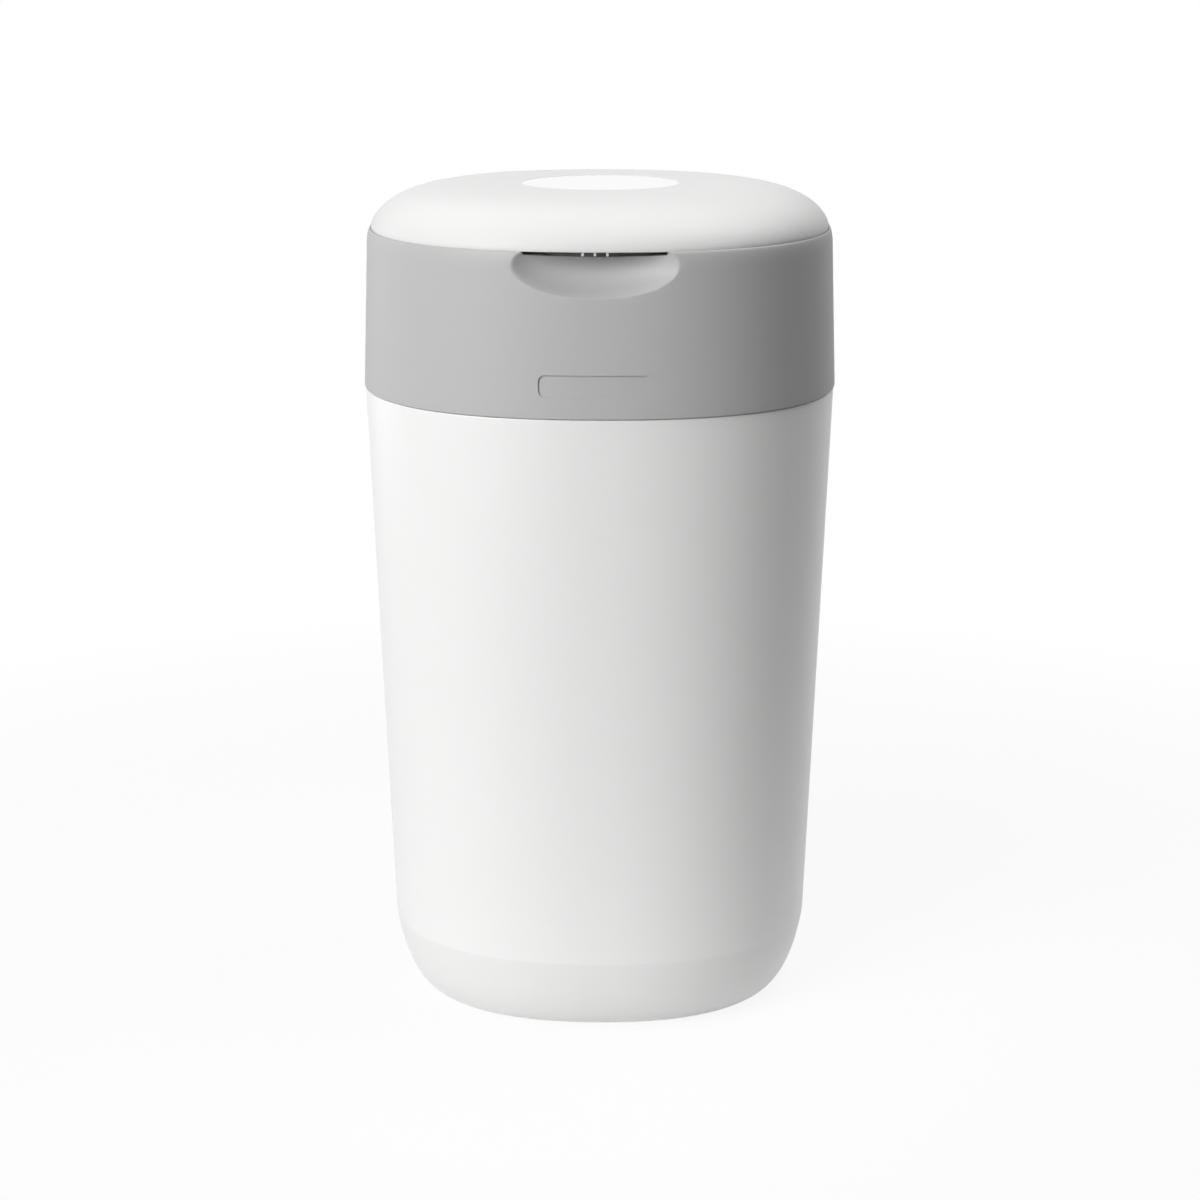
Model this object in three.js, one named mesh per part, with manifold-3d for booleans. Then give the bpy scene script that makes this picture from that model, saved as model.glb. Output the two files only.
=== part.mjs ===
// A nappy bin that wraps each nappy in film: a tapered tub, a hinged head with a finger scoop,
// a twisting funnel that turns the film cassette below it, and a domed lid.
// Millimetres, +Z up, front towards -Y, origin on the floor at the middle of the tub.
import * as THREE from "three";
import { mergeVertices, toCreasedNormals } from "three/addons/utils/BufferGeometryUtils.js";
import Module from "manifold-3d";

const wasm = await Module();
wasm.setup();

// Driving sizes of the whole bin
const BIN_WIDTH = 255; // across the foot of the head, its widest place
const BIN_DEPTH = 237;
const BIN_HEIGHT = 445;
const PLAN_POWER = 2.3; // superellipse power of the rounded plan: 2 is an ellipse
const SEAT_GAP = 0.3; // between pieces that touch
const RUNNING_GAP = 0.6; // between pieces that slide or turn past each other
const OVERRUN = 6; // how far a cutter passes the surface that it leaves by
const MERGE_DISTANCE = 1e-4; // corners nearer than this are one

// Facets round each kind of outline, and along a rounding
const PLAN_STEPS = 40;
const ROUND_STEPS = 28;
const BALL_STEPS = 20;
const SMALL_STEPS = 8;
const ROUNDING_STEPS = 5;

// Tub
const TUB_WALL = 2.4;
const HEAD_OVERHANG = 1.3; // how far the head stands proud of the tub
const CREASE_HEIGHT = 41; // where the straight wall breaks into the rounded bottom
const CREASE_INSET = 12.8; // from the head's foot outline
const BOTTOM_INSET = 33.6;
const CREASE_ANGLE = THREE.MathUtils.degToRad(15); // where on its ellipse the bottom rounding starts
const FOOT_RING_WIDTH = 10;
const FOOT_RECESS = 3;
const SPIGOT_HEIGHT = 7; // stands up inside the head
const SPIGOT_WALL = 2;
const SPIGOT_GAP = 0.8;
const SPIGOT_NOTCH_WIDTH = 140; // left out at the back, where the head swings down
const RIM_DEPTH = 14; // the thicker band below the spigot

// Hinge between tub and head, at the back
const HEAD_AXIS_RISE = 4.7; // over the tub's shoulder
const HEAD_AXIS_INSET = 0.5; // in from the back of the head's foot
const HEAD_KNUCKLE_RADIUS = 4.2;
const HEAD_KNUCKLE_WIDTH = 24;
const HEAD_EAR_WIDTH = 19;
const HEAD_PIN_RADIUS = 1.6;
const KNUCKLE_ROOT_HEIGHT = 16; // of the web under the tub's knuckle
const KNUCKLE_ROOT_DEPTH = 3.6;

// Head
const HEAD_HEIGHT = 84; // foot to the crest beside the lid
const HEAD_WALL = 2.4;
const HEAD_TAPER = 2.6; // how far the wall leans in up to the shoulder
const SHOULDER_DROP = 10; // rounded shoulder, from the crest down
const SHOULDER_REACH = 2.1;
const LAND_DROP = 1.2; // the lid's seat below the crest
const LAND_START = 4.95; // inset of the seat's outer edge
const WELL_INSET = 17.4; // inner wall of the head, seen with the lid open
const SCOOP_HALF_WIDTH = 51;
const SCOOP_CLEARANCE = 2.6; // its underside over the deck
const SCOOP_REACH = 21.5; // half depth of the ellipsoid that is scooped out
const SCOOP_STANDOFF = 8; // its centre, in front of the wall
const SCOOP_DROP = 7.2; // its centre, below the crest
const SCOOP_WALL = 2.2;
const SCOOP_SLOT_WIDTH = 72; // the slot behind the scoop, below the lid
const SCOOP_SLOT_DEPTH = 2.6; // in the middle
const SCOOP_SLOT_END_DEPTH = 0.8;
const BADGE_WIDTH = 57.2; // shallow bare panel on the front
const BADGE_HEIGHT = 11.4;
const BADGE_CORNER = 3.4;
const BADGE_DEPTH = 0.8;
const BADGE_RISE = 16.7; // its middle, over the foot of the head
const CATCH_WIDTH = 36; // snap bead inside the front of the head
const CATCH_HEIGHT = 2;
const CATCH_REACH = 0.9;
const CATCH_RISE = 3;

// Pillars and screws that hold the deck in the head
const PILLAR_INSET = 9.7;
const PILLAR_RADIUS = 4.2;
const PILOT_CLEARANCE = 2; // past the tip of the screw
const SCREW_RADIUS = 1.6;
const SCREW_LENGTH = 12;
const SCREW_HEAD_RADIUS = 3.3;
const SCREW_HEAD_HEIGHT = 2.2;
const SCREW_SLOT_WIDTH = 1;
const SCREW_SLOT_DEPTH = 1;

// Deck, the plate that carries the twist ring
const DECK_INSET = 6;
const DECK_TOP = 53.1; // over the head's foot
const DECK_THICKNESS = 2.5;
const DECK_HOLE_GAP = 1.5; // round the twist ring's hub

// Hinge between head and lid
const LID_AXIS_DROP = 4; // below the crest, in line with the back of the head's foot
const LID_EYE_RADIUS = 4;
const LID_ARM_WIDTH = 28;
const LID_EAR_WIDTH = 11;
const LID_PIN_RADIUS = 1.5;
const LID_ARM_RISE = 7.5; // top of the arm, over the lid's edge
const LID_ARM_BITE = 1.9; // how far the arm runs into the lid's wall

// Lid
const LID_INSET = 5.5;
const LID_GAP = 0.6; // over its seat
const LID_EDGE = 1.2; // upright edge, under the dome
const LID_WALL = 2.4;
const DOME_HEIGHT = 21.5;
const DOME_PLAN_POWER = 6; // how flat the dome stays towards the edge
const DOME_RISE_POWER = 1.6;
const PATCH_WIDTH = 84; // plain polished oval in the middle of the lid
const PATCH_DEPTH = 70;
const PATCH_SINK = 0.5;
const RIB_COUNT = 3; // small ribs behind the lid's front edge
const RIB_WIDTH = 1.2;
const RIB_PITCH = 6.2;
const RIB_DROP = 1.5; // below the lid's edge
const RIB_HEIGHT = 3.5;
const RIB_DEPTH = 5;
const LINER_THICKNESS = 2;
const LINER_PLUG_DROP = 10.5; // plug that enters the head's well
const LINER_PLUG_WALL = 2;
const LINER_PLUG_GAP = 3;
const SEAL_HEIGHT = 4;
const SEAL_RISE = 3; // over the plug's lower edge
const SEAL_GROOVE = 0.9;

// Twist ring and the drive sleeve screwed under it
const RING_INSET = 25.5; // from the narrower side of the head's foot
const RING_LIP_WIDTH = 4.5; // edge of the flange to the crest
const RING_HUB_STEP = 4; // crest to the hub that turns in the deck
const RING_CREST = 6.5; // over the deck
const RING_WALL = 2.2;
const THROAT_MARGIN = 2; // inside the cassette's bore
const THROAT_DEPTH = 45; // below the deck
const THROAT_LENGTH = 6;
// How far across the mouth and how far down the funnel wall is, from the mouth to the throat
const FUNNEL_SHARES = [
  [1, 0], [0.84, 0.04], [0.6, 0.095], [0.44, 0.16], [0.33, 0.26], [0.21, 0.42], [0.11, 0.65], [0, 1],
];
const GRIP_CLEARANCE = 9.9; // top of the grips below the lid's seat
const GRIP_HALF_LENGTH = 37;
const GRIP_THICKNESS = 9;
const SLEEVE_THICKNESS = 3.2;
const SLEEVE_SKIRT_MARGIN = 16.2; // outside the cassette's bore
const SLEEVE_SKIRT_WALL = 2.2;
const RATCHET_TEETH = 24;
const RATCHET_STANDOFF = 0.5; // roots of the teeth, past the ring's flange
const RATCHET_DEPTH = 2.6;
const SLEEVE_SCREW_MARGIN = 5.3; // outside the skirt
const SLEEVE_SCREW_LENGTH = 6;
const SLEEVE_SCREWS = 4;
const LUG_COUNT = 4;
const LUG_WIDTH = 10;
const LUG_DROP = 4.6;
const SLEEVE_CLEARANCE = 0.8; // between the skirt and the cassette

// Click spring and film cutter, under the deck
const SPRING_HEIGHT = 3.4;
const SPRING_LEAF = 1.6;
const SPRING_BASE = 9;
const SPRING_ANGLE = THREE.MathUtils.degToRad(-60); // round the bin, from +X
const SPRING_SWEEP = THREE.MathUtils.degToRad(22.5); // nose ahead of the base
const SPRING_STANDOFF = 4;
const NOSE_DEPTH = 2.2;
const NOSE_WIDTH = 4;
const CUTTER_INSET = 22.7; // in line with the pillar at the front left
const CUTTER_WIDTH = 30;
const CUTTER_DEPTH = 14;
const CUTTER_CLEARANCE = 8.9; // over the cradle's flange
const CUTTER_ROOF = 15; // above the slot
const CUTTER_SLOT_WIDTH = 3;
const CUTTER_CORNER = 3;
const BLADE_THICKNESS = 0.6;
const BLADE_WIDTH = 9;
const BLADE_TILT = THREE.MathUtils.degToRad(38);
const CUTTER_SCREW_PITCH = 20;
const CUTTER_SCREW_LENGTH = 6;

// Cassette and the cradle that carries it in the tub
const CASSETTE_INSET = 22.5; // from the narrower side of the head's foot
const CASSETTE_WIDTH = 38; // bore to rim
const CASSETTE_HEIGHT = 53;
const CASSETTE_WALL = 1.6;
const COVER_SLOT = 2.4; // where the film leaves, round the bore
const COVER_LIP = 6;
const HUB_DROP = 4; // hub below the cover's top
const DRIVE_SLOTS = 8;
const DRIVE_SLOT_LENGTH = 15;
const DRIVE_SLOT_WIDTH = 6.4;
const FILM_PLEATS = 4;
const FILM_HEIGHT = 38;
const FILM_PLEAT_DEPTH = 2.4;
const FILM_GAP = 1;
const CRADLE_WALL = 2.4;
const CRADLE_FLANGE_WIDTH = 5;
const CRADLE_FLANGE_INSET = 3.7;
const CRADLE_WEB_DROP = 4.9; // the flat web, below the flange
const CRADLE_WEB_INSET = 10;
const CRADLE_NOTCH_WIDTH = 90;
const CRADLE_NOTCH_INSET = 6.6;
const CUP_GAP = 1.2; // round the cassette's cover
const CUP_HOLE_MARGIN = 6; // outside the cassette's bore
const CUP_LIP_WALL = 2;
const CUP_LIP_DROP = 6;
const GRIPPER_WALL = 2.6;
const GRIPPER_FINGERS = 8;
const GRIPPER_TIP_RADIUS = 24;
const GRIPPER_DROP = 18;
const GRIPPER_SLIT = 2.4;
const GRIPPER_THICKNESS = 2.2;
const GRIPPER_BAND = 9;

// Sizes that follow from those above
const LAND_Z = HEAD_HEIGHT - LAND_DROP; // in the head's frame
const LID_BASE = BIN_HEIGHT - DOME_HEIGHT - LID_EDGE;
const HEAD_FOOT = LID_BASE - LID_GAP - LAND_Z;
const TUB_HEIGHT = HEAD_FOOT - SEAT_GAP; // to the shoulder that the head closes on
const WELL_DEPTH = LAND_Z - SEAT_GAP - DECK_TOP; // seat to the lower edge of the inner wall
const SCOOP_HALF_HEIGHT = HEAD_HEIGHT - SCOOP_DROP - SCOOP_WALL - SCOOP_CLEARANCE - DECK_TOP;
const GRIP_HEIGHT = WELL_DEPTH - GRIP_CLEARANCE; // over the deck
const HEAD_AXIS = { y: BIN_DEPTH / 2 - HEAD_AXIS_INSET, z: TUB_HEIGHT + HEAD_AXIS_RISE };
const LID_AXIS = { y: BIN_DEPTH / 2, z: HEAD_HEIGHT - LID_AXIS_DROP };
const SPIGOT_INSET = HEAD_WALL + SPIGOT_GAP;
const RIM_INSET = SPIGOT_INSET + SPIGOT_WALL;
const FLANGE_TOP = TUB_HEIGHT + SPIGOT_HEIGHT + SEAT_GAP + CRADLE_WALL;
const NARROW_HALF = Math.min(BIN_WIDTH, BIN_DEPTH) / 2;
const CASSETTE_RADIUS = NARROW_HALF - CASSETTE_INSET;
const CASSETTE_BORE_RADIUS = CASSETTE_RADIUS - CASSETTE_WIDTH;
const CUP_HOLE_RADIUS = CASSETTE_BORE_RADIUS + CUP_HOLE_MARGIN;
const SLEEVE_SKIRT_RADIUS = CASSETTE_BORE_RADIUS + SLEEVE_SKIRT_MARGIN;
const SLEEVE_SCREW_CIRCLE = SLEEVE_SKIRT_RADIUS + SLEEVE_SCREW_MARGIN;
const THROAT_RADIUS = CASSETTE_BORE_RADIUS - THROAT_MARGIN;
const RING_FLANGE_RADIUS = NARROW_HALF - RING_INSET;
const RING_CREST_RADIUS = RING_FLANGE_RADIUS - RING_LIP_WIDTH;
const RING_HUB_RADIUS = RING_CREST_RADIUS - RING_HUB_STEP;
const DECK_HOLE_RADIUS = RING_HUB_RADIUS + DECK_HOLE_GAP;
const RATCHET_ROOT_RADIUS = RING_FLANGE_RADIUS + RATCHET_STANDOFF;
const RATCHET_TIP_RADIUS = RATCHET_ROOT_RADIUS + RATCHET_DEPTH;
const COVER_RADIUS = CASSETTE_RADIUS + SEAT_GAP + CASSETTE_WALL;
const CUP_RADIUS = COVER_RADIUS + CUP_GAP;
const THROAT_END = HEAD_FOOT + DECK_TOP - THROAT_DEPTH; // on the bin's own height
const CASSETTE_TOP = THROAT_END - SEAT_GAP - SLEEVE_CLEARANCE;
const CASSETTE_BASE = CASSETTE_TOP - CASSETTE_HEIGHT;
const CUP_FLOOR = CASSETTE_BASE - SEAT_GAP;
const UNDER_DECK = DECK_TOP - DECK_THICKNESS - SEAT_GAP; // in the head's frame
const CUTTER_HEIGHT = HEAD_FOOT + UNDER_DECK - FLANGE_TOP - CUTTER_CLEARANCE;
const CUTTER_SLOT_HEIGHT = CUTTER_HEIGHT - CUTTER_ROOF;
const BLADE_LENGTH = CUTTER_SLOT_HEIGHT;

const material = (name, color, roughness) =>
  new THREE.MeshStandardMaterial({ name, color, roughness, metalness: 0 });
const WHITE = material("white_plastic", 0xf1f1f0, 0.42);
const LID_WHITE = material("lid_plastic", 0xf3f3f2, 0.25);
const GREY = material("grey_plastic", 0xb4b4b3, 0.5);
const DARK = material("mechanism_plastic", 0x77787a, 0.5);
const PALE = material("cassette_plastic", 0xe3e6e4, 0.35);
const FILM = material("film", 0xbfd8c4, 0.3);
const RUBBER = material("soft_rubber", 0x8d9092, 0.8);
const STEEL = new THREE.MeshStandardMaterial({
  name: "steel", color: 0xc4c6c8, roughness: 0.3, metalness: 1,
});

// A closed three.js geometry as a manifold-3d solid.
function solid(geometry) {
  const bare = geometry.clone();
  for (const name of ["normal", "uv"]) bare.deleteAttribute(name);
  const merged = mergeVertices(bare, MERGE_DISTANCE);
  return new wasm.Manifold(
    new wasm.Mesh({
      numProp: 3,
      vertProperties: merged.attributes.position.array,
      triVerts: new Uint32Array(merged.index.array),
    }),
  );
}

// A named mesh from a solid, shaded smooth across shallow edges only.
function piece(name, shape, look) {
  const { vertProperties, triVerts } = shape.getMesh();
  const geometry = new THREE.BufferGeometry();
  geometry.setAttribute("position", new THREE.BufferAttribute(vertProperties, 3));
  geometry.setIndex(new THREE.BufferAttribute(triVerts, 1));
  const mesh = new THREE.Mesh(toCreasedNormals(geometry, Math.PI / 6), look);
  mesh.name = name;
  return mesh;
}

// One level of the bin's rounded plan, `inset` mm inside the foot of the head.
const level = (inset, z) => ({
  halfWidth: BIN_WIDTH / 2 - inset,
  halfDepth: BIN_DEPTH / 2 - inset,
  power: PLAN_POWER,
  z,
});
const roundLevel = (radius, z) => ({ halfWidth: radius, halfDepth: radius, power: 2, z });

// A point of a superellipse, at an angle from +X.
function planPoint({ halfWidth, halfDepth, power, z }, angle) {
  const c = Math.cos(angle);
  const s = Math.sin(angle);
  const share = 2 / power;
  return [
    Math.sign(c) * halfWidth * Math.abs(c) ** share,
    Math.sign(s) * halfDepth * Math.abs(s) ** share,
    z,
  ];
}

// Skins a stack of levels. A ring closes on itself, and anything else is capped at both ends.
// The levels run counterclockwise round their section, seen with the axis on the left.
function loft(levels, isRing = false, steps = PLAN_STEPS) {
  const points = [];
  for (const one of levels) {
    for (let i = 0; i < steps; i++) points.push(...planPoint(one, (2 * Math.PI * i) / steps));
  }
  const faces = [];
  const last = levels.length - 1;
  const strips = isRing ? levels.length : last;
  for (let k = 0; k < strips; k++) {
    const low = k * steps;
    const high = ((k + 1) % levels.length) * steps;
    for (let i = 0; i < steps; i++) {
      const j = (i + 1) % steps;
      faces.push(low + i, low + j, high + j, low + i, high + j, high + i);
    }
  }
  if (!isRing) {
    const bottom = points.length / 3;
    points.push(0, 0, levels[0].z, 0, 0, levels[last].z);
    for (let i = 0; i < steps; i++) {
      const j = (i + 1) % steps;
      faces.push(bottom, j, i, bottom + 1, last * steps + i, last * steps + j);
    }
  }
  const geometry = new THREE.BufferGeometry();
  geometry.setAttribute("position", new THREE.Float32BufferAttribute(points, 3));
  geometry.setIndex(faces);
  return solid(geometry);
}

// A round ring or disc from [radius, z] points, counterclockwise with the axis on the left.
function revolve(profile, steps = ROUND_STEPS) {
  const points = [...profile, profile[0]].map(([radius, z]) => new THREE.Vector2(radius, z));
  return solid(new THREE.LatheGeometry(points, steps).rotateX(Math.PI / 2));
}

function box(width, depth, height, [x, y, z]) {
  return solid(new THREE.BoxGeometry(width, depth, height).translate(x, y, z));
}

// Upright cylinder standing on z.
function post(radius, height, [x, y, z], steps = SMALL_STEPS) {
  const geometry = new THREE.CylinderGeometry(radius, radius, height, steps);
  return solid(geometry.rotateX(Math.PI / 2).translate(x, y, z + height / 2));
}

// Cylinder along X, centred on x.
function rod(radius, length, x, { y, z }, steps = SMALL_STEPS) {
  const geometry = new THREE.CylinderGeometry(radius, radius, length, steps);
  return solid(geometry.rotateZ(Math.PI / 2).translate(x, y, z));
}

function ellipsoid([halfX, halfY, halfZ], [x, y, z]) {
  const geometry = new THREE.SphereGeometry(1, BALL_STEPS, BALL_STEPS / 2);
  return solid(geometry.scale(halfX, halfY, halfZ).translate(x, y, z));
}

// A bar along Z whose section is a rectangle with rounded corners
function roundedBar(width, height, corner, length) {
  const outline = new THREE.Shape();
  const x = width / 2 - corner;
  const y = height / 2 - corner;
  outline.absarc(x, y, corner, 0, Math.PI / 2);
  outline.absarc(-x, y, corner, Math.PI / 2, Math.PI);
  outline.absarc(-x, -y, corner, Math.PI, (3 * Math.PI) / 2);
  outline.absarc(x, -y, corner, (3 * Math.PI) / 2, 2 * Math.PI);
  return new THREE.ExtrudeGeometry(outline, {
    depth: length, bevelEnabled: false, curveSegments: ROUNDING_STEPS / 2,
  });
}

const turned = (shape, angle) => shape.rotate([0, 0, THREE.MathUtils.radToDeg(angle)]);
const fourCorners = [1, 3, 5, 7].map((eighth) => (eighth * Math.PI) / 4);
const around = (count, make) => Array.from({ length: count }, (_, i) => make((2 * Math.PI * i) / count));

// A quarter turn of an ellipse from (inset, z) across `reach` and up `rise`, without its first point.
function rounding(inset, z, reach, rise, start = 0) {
  const made = [];
  for (let i = 1; i <= ROUNDING_STEPS; i++) {
    const angle = start + ((Math.PI / 2 - start) * i) / ROUNDING_STEPS;
    const across = (Math.cos(start) - Math.cos(angle)) / Math.cos(start);
    const along = (Math.sin(angle) - Math.sin(start)) / (1 - Math.sin(start));
    made.push(level(inset + reach * across, z + rise * along));
  }
  return made;
}

// Tub

function tubShell() {
  const reach = BOTTOM_INSET - CREASE_INSET;
  const outerBottom = rounding(CREASE_INSET, CREASE_HEIGHT, reach, -CREASE_HEIGHT, CREASE_ANGLE);
  const floor = FOOT_RECESS + TUB_WALL;
  const innerBottom = rounding(
    CREASE_INSET + TUB_WALL, CREASE_HEIGHT, reach, floor - CREASE_HEIGHT, CREASE_ANGLE,
  );
  const recessInset = BOTTOM_INSET + FOOT_RING_WIDTH;
  const wallAtRim = HEAD_OVERHANG + TUB_WALL;
  const shell = loft([
    level(recessInset + FOOT_RECESS, FOOT_RECESS),
    level(recessInset, 0),
    ...outerBottom.reverse(),
    level(CREASE_INSET, CREASE_HEIGHT),
    level(HEAD_OVERHANG, TUB_HEIGHT),
    level(SPIGOT_INSET, TUB_HEIGHT),
    level(SPIGOT_INSET, TUB_HEIGHT + SPIGOT_HEIGHT),
    level(RIM_INSET, TUB_HEIGHT + SPIGOT_HEIGHT),
    level(RIM_INSET, TUB_HEIGHT - RIM_DEPTH / 2),
    level(wallAtRim, TUB_HEIGHT - RIM_DEPTH),
    level(CREASE_INSET + TUB_WALL, CREASE_HEIGHT),
    ...innerBottom,
  ]);
  const notch = box(
    SPIGOT_NOTCH_WIDTH, BIN_DEPTH / 2, SPIGOT_HEIGHT + OVERRUN,
    [0, BIN_DEPTH / 2, TUB_HEIGHT + (SPIGOT_HEIGHT + OVERRUN) / 2],
  );
  const catchGroove = box(
    CATCH_WIDTH + 2 * RUNNING_GAP, 2 * CATCH_REACH, CATCH_HEIGHT + 2 * RUNNING_GAP,
    [0, SPIGOT_INSET - BIN_DEPTH / 2, HEAD_FOOT + CATCH_RISE],
  );
  const root = box(
    HEAD_KNUCKLE_WIDTH, KNUCKLE_ROOT_DEPTH, KNUCKLE_ROOT_HEIGHT,
    [0, HEAD_AXIS.y - KNUCKLE_ROOT_DEPTH / 4, HEAD_AXIS.z - KNUCKLE_ROOT_HEIGHT / 2],
  );
  return shell
    .subtract(notch)
    .subtract(catchGroove)
    .add(root)
    .add(rod(HEAD_KNUCKLE_RADIUS, HEAD_KNUCKLE_WIDTH, 0, HEAD_AXIS))
    .subtract(rod(HEAD_PIN_RADIUS + SEAT_GAP, HEAD_KNUCKLE_WIDTH + OVERRUN, 0, HEAD_AXIS));
}

function cassetteCradle() {
  const flange = FLANGE_TOP;
  const web = flange - CRADLE_WEB_DROP;
  const dropInset = CRADLE_FLANGE_INSET + CRADLE_FLANGE_WIDTH;
  const cupOuter = CUP_RADIUS + CRADLE_WALL;
  const lipOuter = CUP_HOLE_RADIUS + CUP_LIP_WALL;
  const lipEnd = CUP_FLOOR - CRADLE_WALL - CUP_LIP_DROP;
  const cradle = loft([
    level(CRADLE_FLANGE_INSET, flange - CRADLE_WALL),
    level(CRADLE_FLANGE_INSET, flange),
    level(dropInset, flange),
    level(CRADLE_WEB_INSET, web),
    roundLevel(CUP_RADIUS, web),
    roundLevel(CUP_RADIUS, CUP_FLOOR),
    roundLevel(CUP_HOLE_RADIUS, CUP_FLOOR),
    roundLevel(CUP_HOLE_RADIUS, lipEnd),
    roundLevel(lipOuter, lipEnd),
    roundLevel(lipOuter, CUP_FLOOR - CRADLE_WALL),
    roundLevel(cupOuter, CUP_FLOOR - CRADLE_WALL),
    roundLevel(cupOuter, web - CRADLE_WALL),
    level(CRADLE_WEB_INSET - CRADLE_WALL, web - CRADLE_WALL),
    level(dropInset - CRADLE_WALL, flange - CRADLE_WALL),
  ], true);
  const notchDepth = CRADLE_NOTCH_INSET + OVERRUN;
  const notch = box(
    CRADLE_NOTCH_WIDTH, notchDepth, CRADLE_WEB_DROP + OVERRUN,
    [0, BIN_DEPTH / 2 - CRADLE_NOTCH_INSET + notchDepth / 2, flange],
  );
  return cradle.subtract(notch);
}

// Elastic fingers that keep the wrapped nappies from turning with the cassette.
function gripperRing() {
  const inner = CUP_HOLE_RADIUS + CUP_LIP_WALL + SEAT_GAP;
  const outer = inner + GRIPPER_WALL;
  const top = CUP_FLOOR - CRADLE_WALL - SEAT_GAP;
  const knee = top - GRIPPER_BAND;
  const tip = knee - GRIPPER_DROP;
  const lipEnd = CUP_FLOOR - CRADLE_WALL - CUP_LIP_DROP - SEAT_GAP;
  const middle = (inner + GRIPPER_TIP_RADIUS) / 2;
  const cone = revolve([
    [outer, top],
    [inner, top],
    [inner, lipEnd],
    [CUP_HOLE_RADIUS, lipEnd],
    [middle, (knee + tip) / 2 + GRIPPER_THICKNESS],
    [GRIPPER_TIP_RADIUS, tip + GRIPPER_THICKNESS],
    [GRIPPER_TIP_RADIUS, tip],
    [middle, (knee + tip) / 2 - GRIPPER_THICKNESS / 2],
    [outer, knee],
  ], PLAN_STEPS);
  const slit = box(
    CUP_HOLE_RADIUS - GRIPPER_SLIT, GRIPPER_SLIT, GRIPPER_DROP + GRIPPER_BAND,
    [(CUP_HOLE_RADIUS - GRIPPER_SLIT) / 2, 0, (knee + tip) / 2],
  );
  return around(GRIPPER_FINGERS, (angle) => turned(slit, angle))
    .reduce((ring, one) => ring.subtract(one), cone);
}

const hingePin = (radius, knuckle, ear, axis) =>
  rod(radius, knuckle + 2 * ear, 0, axis);

// Cassette, with z from its own base

function cassetteTray() {
  const bore = CASSETTE_BORE_RADIUS;
  const rim = CASSETTE_HEIGHT - CASSETTE_WALL - SEAT_GAP;
  const hub = CASSETTE_HEIGHT - HUB_DROP;
  return revolve([
    [bore, 0],
    [CASSETTE_RADIUS, 0],
    [CASSETTE_RADIUS, rim],
    [CASSETTE_RADIUS - CASSETTE_WALL, rim],
    [CASSETTE_RADIUS - CASSETTE_WALL, CASSETTE_WALL],
    [bore + CASSETTE_WALL, CASSETTE_WALL],
    [bore + CASSETTE_WALL, hub],
    [bore + CASSETTE_WALL / 2, hub + CASSETTE_WALL / 2],
    [bore, hub],
  ]);
}

function filmPack() {
  const outer = CASSETTE_RADIUS - CASSETTE_WALL - FILM_GAP;
  const inner = CASSETTE_BORE_RADIUS + CASSETTE_WALL + FILM_GAP;
  const base = CASSETTE_WALL + SEAT_GAP;
  const pitch = FILM_HEIGHT / FILM_PLEATS;
  const pleats = [];
  for (let i = FILM_PLEATS - 1; i >= 0; i--) {
    pleats.push([inner, base + (i + 1) * pitch], [inner + FILM_PLEAT_DEPTH, base + (i + 1 / 2) * pitch]);
  }
  return revolve([[outer, base], [outer, base + FILM_HEIGHT], ...pleats, [inner, base]]);
}

function cassetteCover() {
  const lip = CASSETTE_HEIGHT - COVER_LIP;
  const inner = CASSETTE_BORE_RADIUS + CASSETTE_WALL + COVER_SLOT;
  const under = CASSETTE_HEIGHT - CASSETTE_WALL;
  const cover = revolve([
    [COVER_RADIUS, lip],
    [COVER_RADIUS, CASSETTE_HEIGHT],
    [inner, CASSETTE_HEIGHT],
    [inner, under],
    [CASSETTE_RADIUS + SEAT_GAP, under],
    [CASSETTE_RADIUS + SEAT_GAP, lip],
  ]);
  const middle = SLEEVE_SKIRT_RADIUS - SLEEVE_SKIRT_WALL / 2;
  const slot = box(
    DRIVE_SLOT_WIDTH, DRIVE_SLOT_LENGTH, CASSETTE_WALL + OVERRUN, [middle, 0, CASSETTE_HEIGHT],
  );
  return around(DRIVE_SLOTS, (angle) => turned(slot, angle))
    .reduce((made, one) => made.subtract(one), cover);
}

// Head, with z from its foot

// Middle of the ellipsoid that the scoop is a part of, a little way in front of the wall
const scoopCentre = {
  y: -(BIN_DEPTH / 2 - HEAD_TAPER) - SCOOP_STANDOFF,
  z: HEAD_HEIGHT - SCOOP_DROP,
};

function scoopBody(grown) {
  return ellipsoid(
    [SCOOP_HALF_WIDTH + grown, SCOOP_REACH + grown, SCOOP_HALF_HEIGHT + grown],
    [0, scoopCentre.y, scoopCentre.z],
  );
}

// The slot through the back of the scoop, with a floor that sinks towards its middle.
function scoopSlot() {
  const end = SCOOP_SLOT_WIDTH / 2;
  const outline = new THREE.Shape();
  outline.moveTo(-end, OVERRUN);
  outline.lineTo(-end, -SCOOP_SLOT_END_DEPTH);
  outline.quadraticCurveTo(0, SCOOP_SLOT_END_DEPTH - 2 * SCOOP_SLOT_DEPTH, end, -SCOOP_SLOT_END_DEPTH);
  outline.lineTo(end, OVERRUN);
  const geometry = new THREE.ExtrudeGeometry(outline, {
    depth: WELL_INSET, bevelEnabled: false, curveSegments: ROUNDING_STEPS,
  });
  const back = LAND_START + WELL_INSET - BIN_DEPTH / 2;
  return solid(geometry.rotateX(Math.PI / 2).translate(0, back, LAND_Z));
}

// The plan outline as one solid block, for trimming what lies inside it.
const block = (inset, low, high) => loft([level(inset, low), level(inset, high)]);

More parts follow.
